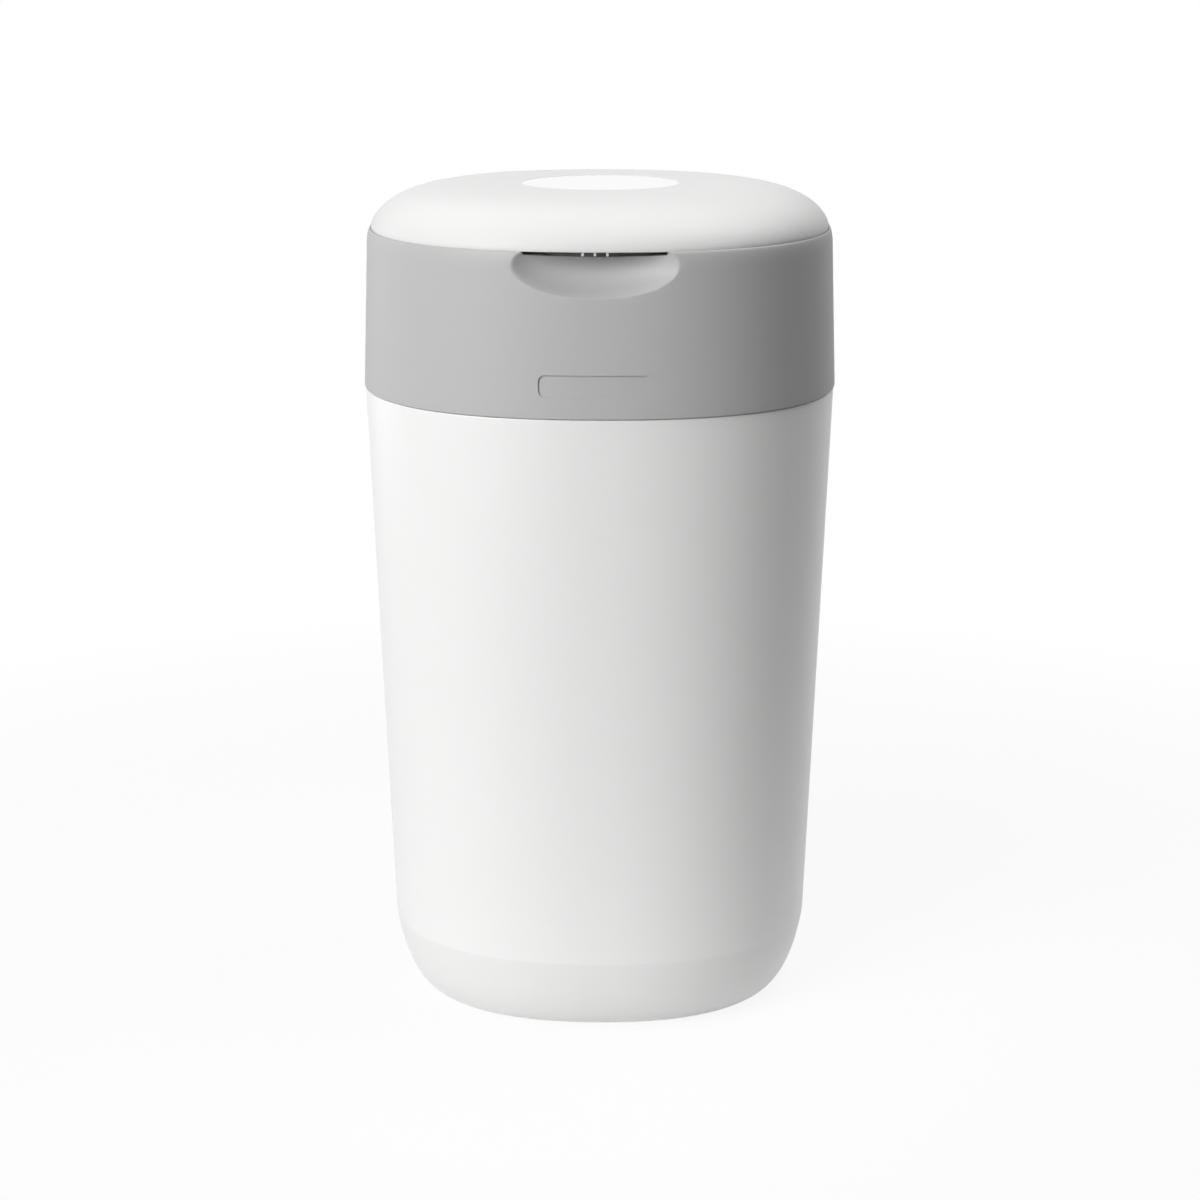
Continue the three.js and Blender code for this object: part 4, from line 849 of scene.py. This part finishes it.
LINER_EDGE = 0.3
LINER_THICKNESS = 2
LINER_PLUG_DROP = 10.5  # of the ring that reaches down into the well
LINER_PLUG_WALL = 2
LINER_PLUG_GAP = 3
LINER_PLUG = WELL_INSET + LINER_PLUG_GAP
SEAL_GROOVE = 0.9
SEAL_RISE = 3
SEAL_HEIGHT = 4
SEAL_LOW = LID_BASE - LINER_PLUG_DROP + SEAL_RISE
SEAL_HIGH = SEAL_LOW + SEAL_HEIGHT


def make_liner():
    edge = LID_INSET + LID_WALL + SEAT_GAP
    inner = LINER_PLUG + LINER_PLUG_WALL + SEAL_GROOVE
    plate = LID_BASE + SEAT_GAP
    foot = LID_BASE - LINER_PLUG_DROP
    liner = skin("liner", softened([
        level(inner + LINER_THICKNESS, plate),
        level(inner, plate),
        level(inner, foot),
        level(LINER_PLUG, foot),
        level(LINER_PLUG, SEAL_LOW),
        level(LINER_PLUG + SEAL_GROOVE, SEAL_LOW),
        level(LINER_PLUG + SEAL_GROOVE, SEAL_HIGH),
        level(LINER_PLUG, SEAL_HIGH),
        level(LINER_PLUG, plate),
        level(edge, plate),
        level(edge, LID_BASE + LID_EDGE),
        level(edge + RUNNING_GAP, plate + LINER_THICKNESS),
    ], LINER_EDGE, closed=False), closed=False)
    arm_gap = (LID_KNUCKLE["width"] + 2 * RUNNING_GAP, LID_INSET + LID_WALL, 2 * OVERRUN)
    carve(liner, box_tool("arm_gap", arm_gap, (0, HALF_DEPTH - LID_INSET, LID_BASE + OVERRUN)))
    rib_gap = (RIB_COUNT * RIB_PITCH, LID_INSET + LID_WALL + RIB_SIZE[1], 2 * OVERRUN)
    carve(liner, box_tool("rib_gap", rib_gap, (0, LID_INSET - HALF_DEPTH, LID_BASE)))
    place(liner, "lid", GREY, "lid_liner")


def make_seal():
    outer = WELL_INSET + RUNNING_GAP
    middle = (SEAL_LOW + SEAL_HIGH) / 2
    root = LINER_PLUG + SEAL_GROOVE - SEAT_GAP
    seal = skin("seal", softened([
        level(root, SEAL_LOW + SEAT_GAP),
        level(outer + SEAT_GAP, middle - SEAT_GAP),
        level(outer, middle),
        level(outer + SEAT_GAP, middle + SEAT_GAP),
        level(root, SEAL_HIGH - SEAT_GAP),
    ], LINER_EDGE))
    place(seal, "lid", RUBBER, "lid_seal")


make_liner()
make_seal()

# Twist ring, a funnel with two grips. Its heights are taken from the deck

RING_EDGE = 0.8
RING_FLANGE_RADIUS = 93
RING_HUB_RADIUS = 84.5
RING_CREST_RADIUS = 88.5
RING_CREST = 6.5
RING_WALL = 2.2
THROAT_RADIUS = 56
THROAT_DEPTH = 45
THROAT_LENGTH = 6
# Of the way out from the throat to the crest, and of the way down
FUNNEL_SHARES = (
    (1, 0), (0.84, 0.04), (0.6, 0.095), (0.44, 0.16), (0.33, 0.26), (0.21, 0.42), (0.11, 0.65), (0, 1),
)
GRIP_EDGE = 1.5
GRIP_HEIGHT = 19.5
GRIP_HALF_LENGTH = 37
GRIP_THICKNESS = 9

# Drive sleeve, below the ring, with ratchet teeth and lugs that turn the cassette

SLEEVE_SCREW_CIRCLE = 79.5
SLEEVE_SCREW_LENGTH = 6
SLEEVE_SCREW_PLACES = [polar(SLEEVE_SCREW_CIRCLE, angle) for angle in CORNER_ANGLES]
SLEEVE_TOP = DECK_TOP - DECK_THICKNESS - 2 * SEAT_GAP
SLEEVE_THICKNESS = 3.2
SLEEVE_SCREW_FOOT = SLEEVE_TOP - SLEEVE_THICKNESS - SEAT_GAP
SLEEVE_FOOT = DECK_TOP - THROAT_DEPTH - SEAT_GAP
RATCHET_TEETH = 24
RATCHET_ROOT_RADIUS = 93.5
LUG_COUNT = 4
LUG_DROP = 4.6
LUG_LENGTH = 10


def flowing(points, steps=5):
    """A smooth curve through the points."""
    made = []
    for i in range(len(points) - 1):
        around = [Vector(points[min(max(i + k, 0), len(points) - 1)]) for k in (-1, 0, 1, 2)]
        for step in range(steps):
            t = step / steps
            bend = (around[2] - around[0]) * t
            bend += (2 * around[0] - 5 * around[1] + 4 * around[2] - around[3]) * t ** 2
            bend += (3 * around[1] - around[0] - 3 * around[2] + around[3]) * t ** 3
            made.append(tuple(around[1] + bend / 2))
    return [*made, points[-1]]


def funnel_walls():
    """The funnel's inside, and its outside a wall's thickness away."""
    top = RING_CREST - RING_WALL
    drop = THROAT_DEPTH - THROAT_LENGTH + top
    reach = RING_CREST_RADIUS - RING_WALL - THROAT_RADIUS
    corners = [(THROAT_RADIUS + reach * across, top - drop * down) for across, down in FUNNEL_SHARES]
    inside = flowing(corners)
    outside = []
    for i, (radius, z) in enumerate(inside):
        before = inside[max(i - 1, 0)]
        after = inside[min(i + 1, len(inside) - 1)]
        slope = math.atan2(before[1] - after[1], before[0] - after[0])
        outside.append((radius + RING_WALL * math.sin(slope), z - RING_WALL * math.cos(slope)))
    return inside, outside


def add_grips(ring):
    middle = RING_CREST_RADIUS - GRIP_THICKNESS / 2
    foot = DECK_TOP + SEAT_GAP + RING_WALL
    for side in (-1, 1):
        wall = revolved("grip", [
            (middle - GRIP_THICKNESS / 2, foot),
            (middle + GRIP_THICKNESS / 2, foot),
            (middle + GRIP_THICKNESS / 3, DECK_TOP + GRIP_HEIGHT),
            (middle - GRIP_THICKNESS / 3, DECK_TOP + GRIP_HEIGHT),
        ], GRIP_EDGE)
        size = (GRIP_HALF_LENGTH, GRIP_HALF_LENGTH, GRIP_HEIGHT)
        carve(wall, ball_tool("dome", size, (side * middle, 0, DECK_TOP)), "INTERSECT")
        carve(ring, wall, "UNION")


def make_ring():
    inside, outside = funnel_walls()
    hub_foot = -DECK_THICKNESS - SEAT_GAP
    skirt = SLEEVE_SKIRT_RADIUS - SLEEVE_SKIRT_WALL
    back = [(r, z) for r, z in outside if z < hub_foot and r < skirt - RUNNING_GAP]
    profile = [
        (RING_HUB_RADIUS, SEAT_GAP),
        (RING_FLANGE_RADIUS, SEAT_GAP),
        (RING_FLANGE_RADIUS, SEAT_GAP + RING_WALL),
        ((RING_FLANGE_RADIUS + RING_CREST_RADIUS) / 2, RING_CREST - SEAT_GAP),
        (RING_CREST_RADIUS, RING_CREST),
        *inside,
        (THROAT_RADIUS, -THROAT_DEPTH),
        (THROAT_RADIUS + RING_WALL, -THROAT_DEPTH),
        *reversed(back),
        (skirt, hub_foot),
        (RING_HUB_RADIUS, hub_foot),
    ]
    ring = revolved("funnel", [(r, DECK_TOP + z) for r, z in profile], RING_EDGE)
    add_grips(ring)
    tip = SLEEVE_SCREW_FOOT + SLEEVE_SCREW_LENGTH + SEAT_GAP
    for spot in SLEEVE_SCREW_PLACES:
        carve(ring, post("pilot", SCREW_RADIUS + SEAT_GAP, DECK_TOP + hub_foot - OVERRUN, tip, spot))
    place(ring, "twist", WHITE, "twist_ring")


def make_sleeve():
    inner = SLEEVE_SKIRT_RADIUS - SLEEVE_SKIRT_WALL
    middle = (inner + SLEEVE_SKIRT_RADIUS) / 2
    low = SLEEVE_TOP - SLEEVE_THICKNESS
    pitch = 2 * math.pi / RATCHET_TEETH
    teeth = []
    for i in range(RATCHET_TEETH):
        teeth.append(polar(RATCHET_ROOT_RADIUS, i * pitch))
        teeth.append(polar(RATCHET_TIP_RADIUS, (i + 0.5) * pitch))
    sleeve = prism("sleeve", teeth, low, SLEEVE_TOP)
    upright = Matrix.Identity(4)
    carve(sleeve, cylinder("hole", middle, 4 * OVERRUN, upright, (0, 0, SLEEVE_TOP), ROUND_STEPS))
    carve(sleeve, revolved("skirt", [
        (inner, SLEEVE_FOOT),
        (SLEEVE_SKIRT_RADIUS, SLEEVE_FOOT),
        (SLEEVE_SKIRT_RADIUS, SLEEVE_TOP),
        (inner, SLEEVE_TOP),
    ]), "UNION")
    lug_top = SLEEVE_FOOT + SLEEVE_SKIRT_WALL
    lug_foot = SLEEVE_FOOT - LUG_DROP
    for i in range(LUG_COUNT):
        size = (SLEEVE_SKIRT_WALL, LUG_LENGTH, lug_top - lug_foot)
        lug = box_tool("lug", size, (middle, 0, (lug_top + lug_foot) / 2))
        carve(sleeve, turned(lug, 2 * math.pi * i / LUG_COUNT), "UNION")
    for spot in SLEEVE_SCREW_PLACES:
        carve(sleeve, post("hole", SCREW_RADIUS + SEAT_GAP, low - OVERRUN, SLEEVE_TOP + OVERRUN, spot))
    place(sleeve, "twist", MECHANISM, "drive_sleeve")


make_ring()
make_sleeve()
for number, spot in enumerate(SLEEVE_SCREW_PLACES, 1):
    make_screw(f"sleeve_screw_{number}", "twist", SLEEVE_SCREW_LENGTH, spot, SLEEVE_SCREW_FOOT)

# Cassette

COVER_DROP = 0.8  # of the cassette's top below the sleeve
CASSETTE_HEIGHT = 53
CASSETTE_BASE = SLEEVE_FOOT - COVER_DROP - CASSETTE_HEIGHT
CASSETTE_BORE = 58
CASSETTE_RADIUS = 96
CASSETTE_WALL = 1.6
TRAY_HUB_DROP = 4
COVER_EDGE = 0.4
COVER_RADIUS = CASSETTE_RADIUS + SEAT_GAP + CASSETTE_WALL
COVER_HUB_GAP = 2.4  # the film comes out through it
COVER_LIP = 6
DRIVE_SLOT_COUNT = 8
DRIVE_SLOT_WIDTH = 6.4
DRIVE_SLOT_LENGTH = 15
FILM_EDGE = 0.2
FILM_GAP = 1
FILM_HEIGHT = 38
FILM_PLEATS = 26
FILM_PLEAT_DEPTH = 2.4


def on_base(profile):
    """A profile's corners, raised to the foot of the cassette."""
    return [(r, CASSETTE_BASE + z) for r, z in profile]


def make_tray():
    rim = CASSETTE_HEIGHT - CASSETTE_WALL - SEAT_GAP
    hub = CASSETTE_HEIGHT - TRAY_HUB_DROP
    tray = revolved("tray", on_base([
        (CASSETTE_BORE, 0),
        (CASSETTE_RADIUS, 0),
        (CASSETTE_RADIUS, rim),
        (CASSETTE_RADIUS - CASSETTE_WALL, rim),
        (CASSETTE_RADIUS - CASSETTE_WALL, CASSETTE_WALL),
        (CASSETTE_BORE + CASSETTE_WALL, CASSETTE_WALL),
        (CASSETTE_BORE + CASSETTE_WALL, hub),
        (CASSETTE_BORE + CASSETTE_WALL / 2, hub + CASSETTE_WALL / 2),
        (CASSETTE_BORE, hub),
    ]))
    place(tray, "cassette", CASSETTE, "cassette_tray")


def make_film():
    outer = CASSETTE_RADIUS - CASSETTE_WALL - FILM_GAP
    inner = CASSETTE_BORE + CASSETTE_WALL + FILM_GAP
    base = CASSETTE_WALL + SEAT_GAP
    pitch = FILM_HEIGHT / FILM_PLEATS
    pleats = []
    for i in reversed(range(FILM_PLEATS)):
        pleats.append((inner, base + (i + 1) * pitch))
        pleats.append((inner + FILM_PLEAT_DEPTH, base + (i + 0.5) * pitch))
    profile = [(outer, base), (outer, base + FILM_HEIGHT), *pleats, (inner, base)]
    film = revolved("film_folds", on_base(profile), FILM_EDGE)
    place(film, "cassette", FILM, "film_pack")


def make_cover():
    hub = CASSETTE_BORE + CASSETTE_WALL + COVER_HUB_GAP
    lip = CASSETTE_HEIGHT - COVER_LIP
    under = CASSETTE_HEIGHT - CASSETTE_WALL
    cover = revolved("cover", on_base([
        (COVER_RADIUS, lip),
        (COVER_RADIUS, CASSETTE_HEIGHT),
        (hub, CASSETTE_HEIGHT),
        (hub, under),
        (CASSETTE_RADIUS + SEAT_GAP, under),
        (CASSETTE_RADIUS + SEAT_GAP, lip),
    ]), COVER_EDGE)
    middle = SLEEVE_SKIRT_RADIUS - SLEEVE_SKIRT_WALL / 2
    for i in range(DRIVE_SLOT_COUNT):
        size = (DRIVE_SLOT_WIDTH, DRIVE_SLOT_LENGTH, CASSETTE_WALL + OVERRUN)
        slot = box_tool("slot", size, (middle, 0, CASSETTE_BASE + CASSETTE_HEIGHT))
        carve(cover, turned(slot, 2 * math.pi * i / DRIVE_SLOT_COUNT))
    place(cover, "cassette", CASSETTE, "cassette_cover")


make_tray()
make_film()
make_cover()

# Cradle, a seat ring with a cup for the cassette

CRADLE_EDGE = 0.5
CRADLE_WALL = 2.4
CRADLE_INSET = 3.7
CRADLE_RIM_INSET = 8.7
CRADLE_WEB_INSET = 10
CRADLE_WEB_DROP = 4.9
CRADLE_NOTCH_WIDTH = 90
CRADLE_NOTCH_DEPTH = 6.6
CUP_GAP = 1.2
CUP_RADIUS = COVER_RADIUS + CUP_GAP
CUP_FLOOR = CASSETTE_BASE - SEAT_GAP
CUP_HOLE = 64
CUP_LIP_WALL = 2
CUP_LIP_DROP = 6
FLANGE_TOP = TUB_HEIGHT + SPIGOT_HEIGHT + SEAT_GAP + CRADLE_WALL

# Gripper, soft fingers below the cup

GRIPPER_EDGE = 0.8
GRIPPER_WALL = 2.6
GRIPPER_TIP = 24
GRIPPER_KNEE_DROP = 9
GRIPPER_CONE_DROP = 18
FINGER_COUNT = 8
FINGER_WALL = 2.2
FINGER_BELLY = 1.1
SLIT_WIDTH = 2.4
SLIT_HEIGHT = 27


def make_cradle():
    web = FLANGE_TOP - CRADLE_WEB_DROP
    under_cup = CUP_FLOOR - CRADLE_WALL
    lip_end = under_cup - CUP_LIP_DROP
    cradle = skin("cradle", softened([
        level(CRADLE_INSET, FLANGE_TOP - CRADLE_WALL),
        level(CRADLE_INSET, FLANGE_TOP),
        level(CRADLE_RIM_INSET, FLANGE_TOP),
        level(CRADLE_WEB_INSET, web),
        round_level(CUP_RADIUS, web),
        round_level(CUP_RADIUS, CUP_FLOOR),
        round_level(CUP_HOLE, CUP_FLOOR),
        round_level(CUP_HOLE, lip_end),
        round_level(CUP_HOLE + CUP_LIP_WALL, lip_end),
        round_level(CUP_HOLE + CUP_LIP_WALL, under_cup),
        round_level(CUP_RADIUS + CRADLE_WALL, under_cup),
        round_level(CUP_RADIUS + CRADLE_WALL, web - CRADLE_WALL),
        level(CRADLE_WEB_INSET - CRADLE_WALL, web - CRADLE_WALL),
        level(CRADLE_RIM_INSET - CRADLE_WALL, FLANGE_TOP - CRADLE_WALL),
    ], CRADLE_EDGE))
    depth = CRADLE_NOTCH_DEPTH + OVERRUN
    notch = (CRADLE_NOTCH_WIDTH, depth, CRADLE_WEB_DROP + OVERRUN)
    notch_place = (0, HALF_DEPTH - CRADLE_NOTCH_DEPTH + depth / 2, FLANGE_TOP)
    carve(cradle, box_tool("notch", notch, notch_place))
    place(cradle, "tub", MECHANISM, "cassette_cradle")


def make_gripper():
    inner = CUP_HOLE + CUP_LIP_WALL + SEAT_GAP
    outer = inner + GRIPPER_WALL
    top = CUP_FLOOR - CRADLE_WALL - SEAT_GAP
    knee = top - GRIPPER_KNEE_DROP
    tip = knee - GRIPPER_CONE_DROP
    waist = (knee + tip) / 2
    lip_end = CUP_FLOOR - CRADLE_WALL - CUP_LIP_DROP - SEAT_GAP
    middle = (inner + GRIPPER_TIP) / 2
    gripper = revolved("gripper", [
        (outer, top),
        (inner, top),
        (inner, lip_end),
        (CUP_HOLE, lip_end),
        (middle, waist + FINGER_WALL),
        (GRIPPER_TIP, tip + FINGER_WALL),
        (GRIPPER_TIP, tip),
        (middle, waist - FINGER_BELLY),
        (outer, knee),
    ], GRIPPER_EDGE)
    reach = CUP_HOLE - SLIT_WIDTH
    for i in range(FINGER_COUNT):
        slit = box_tool("slit", (reach, SLIT_WIDTH, SLIT_HEIGHT), (reach / 2, 0, waist))
        carve(gripper, turned(slit, 2 * math.pi * i / FINGER_COUNT))
    place(gripper, "tub", RUBBER, "gripper_ring")


make_cradle()
make_gripper()

# Small pieces that keep their solids, with their edges eased

KEPT_EDGE = 0.15
WELD_DISTANCE_M = 0.00001


def keep_node(name, material):
    """A frame node that stays as it is, with its corners eased and its finish set."""
    obj = nodes[name]
    dress(obj, material)
    smoothed(obj)
    weld = obj.modifiers.new("weld", "WELD")
    weld.merge_threshold = WELD_DISTANCE_M
    eased(obj, KEPT_EDGE, segments=2)


keep_node("click_spring", WHITE)
keep_node("cutter_housing", MECHANISM)
keep_node("cutter_blade", STEEL)

# Camera, at the photograph's viewing angle

FRAME_PIXELS = 1200
SENSOR = 36
FOCAL_PIXELS = 2882
CAMERA_CLIP_END_M = 20
CAMERA_DISTANCE = 1595.7
CAMERA_TARGET = 214.6
CAMERA_ELEVATION = math.radians(14.64)
CAMERA_AZIMUTH = math.radians(1.3)


def aimed(direction):
    """The rotation of a camera or a lamp that looks along a direction."""
    return direction.to_track_quat("-Z", "Y").to_euler()


def make_camera():
    data = bpy.data.cameras.new("camera")
    data.sensor_width = SENSOR
    data.lens = FOCAL_PIXELS * SENSOR / FRAME_PIXELS
    data.clip_end = CAMERA_CLIP_END_M
    camera = linked("camera", data)
    away = Vector((
        math.sin(CAMERA_AZIMUTH) * math.cos(CAMERA_ELEVATION),
        -math.cos(CAMERA_AZIMUTH) * math.cos(CAMERA_ELEVATION),
        math.sin(CAMERA_ELEVATION),
    ))
    target = Vector((0, 0, CAMERA_TARGET * MM))
    camera.location = target + away * CAMERA_DISTANCE * MM
    camera.rotation_euler = aimed(-away)
    bpy.context.scene.camera = camera


make_camera()

# Floor, world and lamps, with places and sizes in metres and powers in watts

FLOOR_HALF = 3
FLOOR_DROP = 0.0002
# The floor's colour to bounced light, a painted pool of light: pale out to the near radius, dark past
# the far one
FLOOR_PALE = 0.9
FLOOR_FAR = 0.15
FLOOR_NEAR_RADIUS = 0.25
FLOOR_FAR_RADIUS = 0.8
SHADOW_SHARE = 0.1
ROOM_LIGHT = 0.02
BACKDROP_SOFTNESS = 0.6
LAMP_AIM = (0, 0, 0.22)
LAMPS = (
    ("key_left", (-1.26, -1.058, 1.17), (1.0, 1.2), 11.4),
    ("key_front", (-0.944, -1.348, 1.17), (1.0, 1.2), 21.8),
    ("front", (-0.275, -1.954, 0.938), (1.0, 1.2), 1.8),
    ("back_left", (-1.525, 0.88, 0.594), (0.8, 1.2), 4),
    ("top_back", (0, 0.8, 1.4), (1.2, 0.9), 2.4),
    ("top_right", (0.6, 0.1, 1.6), (0.9, 0.9), 10.2),
)


def make_floor():
    """A floor that the camera and reflections see white, with a share of the object's shadow.

    All other light meets a floor that is pale near the object and darker further off: a painted pool of
    light, standing in for lamps that light the floor only near the object.
    """
    edge = FLOOR_HALF
    corners = [(-edge, -edge), (edge, -edge), (edge, edge), (-edge, edge)]
    floor = made_object("floor", [(x, y, -FLOOR_DROP) for x, y in corners], [(0, 1, 2, 3)])
    made = bpy.data.materials.new("floor_white")
    made.use_nodes = True
    tree = made.node_tree
    tree.nodes.clear()
    radii = (FLOOR_NEAR_RADIUS, FLOOR_FAR_RADIUS)
    where = add_node(tree, "TexCoord")
    distance = add_node(tree, "VectorMath", "LENGTH")
    light_pool = add_ramp(tree, radii, (FLOOR_PALE, FLOOR_FAR))
    whiteness = add_ramp(tree, radii, (1 - SHADOW_SHARE, 1))
    diffuse = add_node(tree, "BsdfDiffuse")
    glow = add_node(tree, "Emission")
    shown = add_node(tree, "MixShader")
    rays = add_node(tree, "LightPath")
    either = add_node(tree, "Math", "MAXIMUM")
    choose = add_node(tree, "MixShader")
    out = add_node(tree, "OutputMaterial")
    link = tree.links.new
    link(where.outputs["Object"], distance.inputs[0])
    link(distance.outputs["Value"], light_pool.inputs["Value"])
    link(distance.outputs["Value"], whiteness.inputs["Value"])
    link(light_pool.outputs["Result"], diffuse.inputs["Color"])
    link(whiteness.outputs["Result"], shown.inputs["Fac"])
    link(diffuse.outputs["BSDF"], shown.inputs[1])
    link(glow.outputs["Emission"], shown.inputs[2])
    link(rays.outputs["Is Camera Ray"], either.inputs[0])
    link(rays.outputs["Is Glossy Ray"], either.inputs[1])
    link(either.outputs["Value"], choose.inputs["Fac"])
    link(diffuse.outputs["BSDF"], choose.inputs[1])
    link(shown.outputs["Shader"], choose.inputs[2])
    link(choose.outputs["Shader"], out.inputs["Surface"])
    dress(floor, made)


def make_world():
    """A dim room, seen white by the camera, with a white backdrop at the back in reflections."""
    world = bpy.data.worlds.new("world")
    bpy.context.scene.world = world
    world.use_nodes = True
    tree = world.node_tree
    tree.nodes.clear()
    white = (1, 1, 1, 1)
    room = add_node(tree, "Background", Color=white, Strength=ROOM_LIGHT)
    seen = add_node(tree, "Background", Color=white)
    where = add_node(tree, "TexCoord")
    split = add_node(tree, "SeparateXYZ")
    behind = add_ramp(tree, (0, BACKDROP_SOFTNESS), (0, 1))
    rays = add_node(tree, "LightPath")
    mirrored = add_node(tree, "Math", "MULTIPLY")
    either = add_node(tree, "Math", "MAXIMUM")
    choose = add_node(tree, "MixShader")
    out = add_node(tree, "OutputWorld")
    link = tree.links.new
    link(where.outputs["Generated"], split.inputs["Vector"])
    link(split.outputs["Y"], behind.inputs["Value"])
    link(behind.outputs["Result"], mirrored.inputs[0])
    link(rays.outputs["Is Glossy Ray"], mirrored.inputs[1])
    link(rays.outputs["Is Camera Ray"], either.inputs[0])
    link(mirrored.outputs["Value"], either.inputs[1])
    link(either.outputs["Value"], choose.inputs["Fac"])
    link(room.outputs["Background"], choose.inputs[1])
    link(seen.outputs["Background"], choose.inputs[2])
    link(choose.outputs["Shader"], out.inputs["Surface"])


def softbox(name, lamp_place, size, power):
    data = bpy.data.lights.new(name, "AREA")
    data.shape = "RECTANGLE"
    data.size, data.size_y = size
    data.energy = power
    lamp = linked(name, data)
    lamp.location = lamp_place
    lamp.rotation_euler = aimed(Vector(LAMP_AIM) - Vector(lamp_place))


make_floor()
make_world()
for lamp_settings in LAMPS:
    softbox(*lamp_settings)
bpy.context.scene.view_settings.view_transform = "Standard"
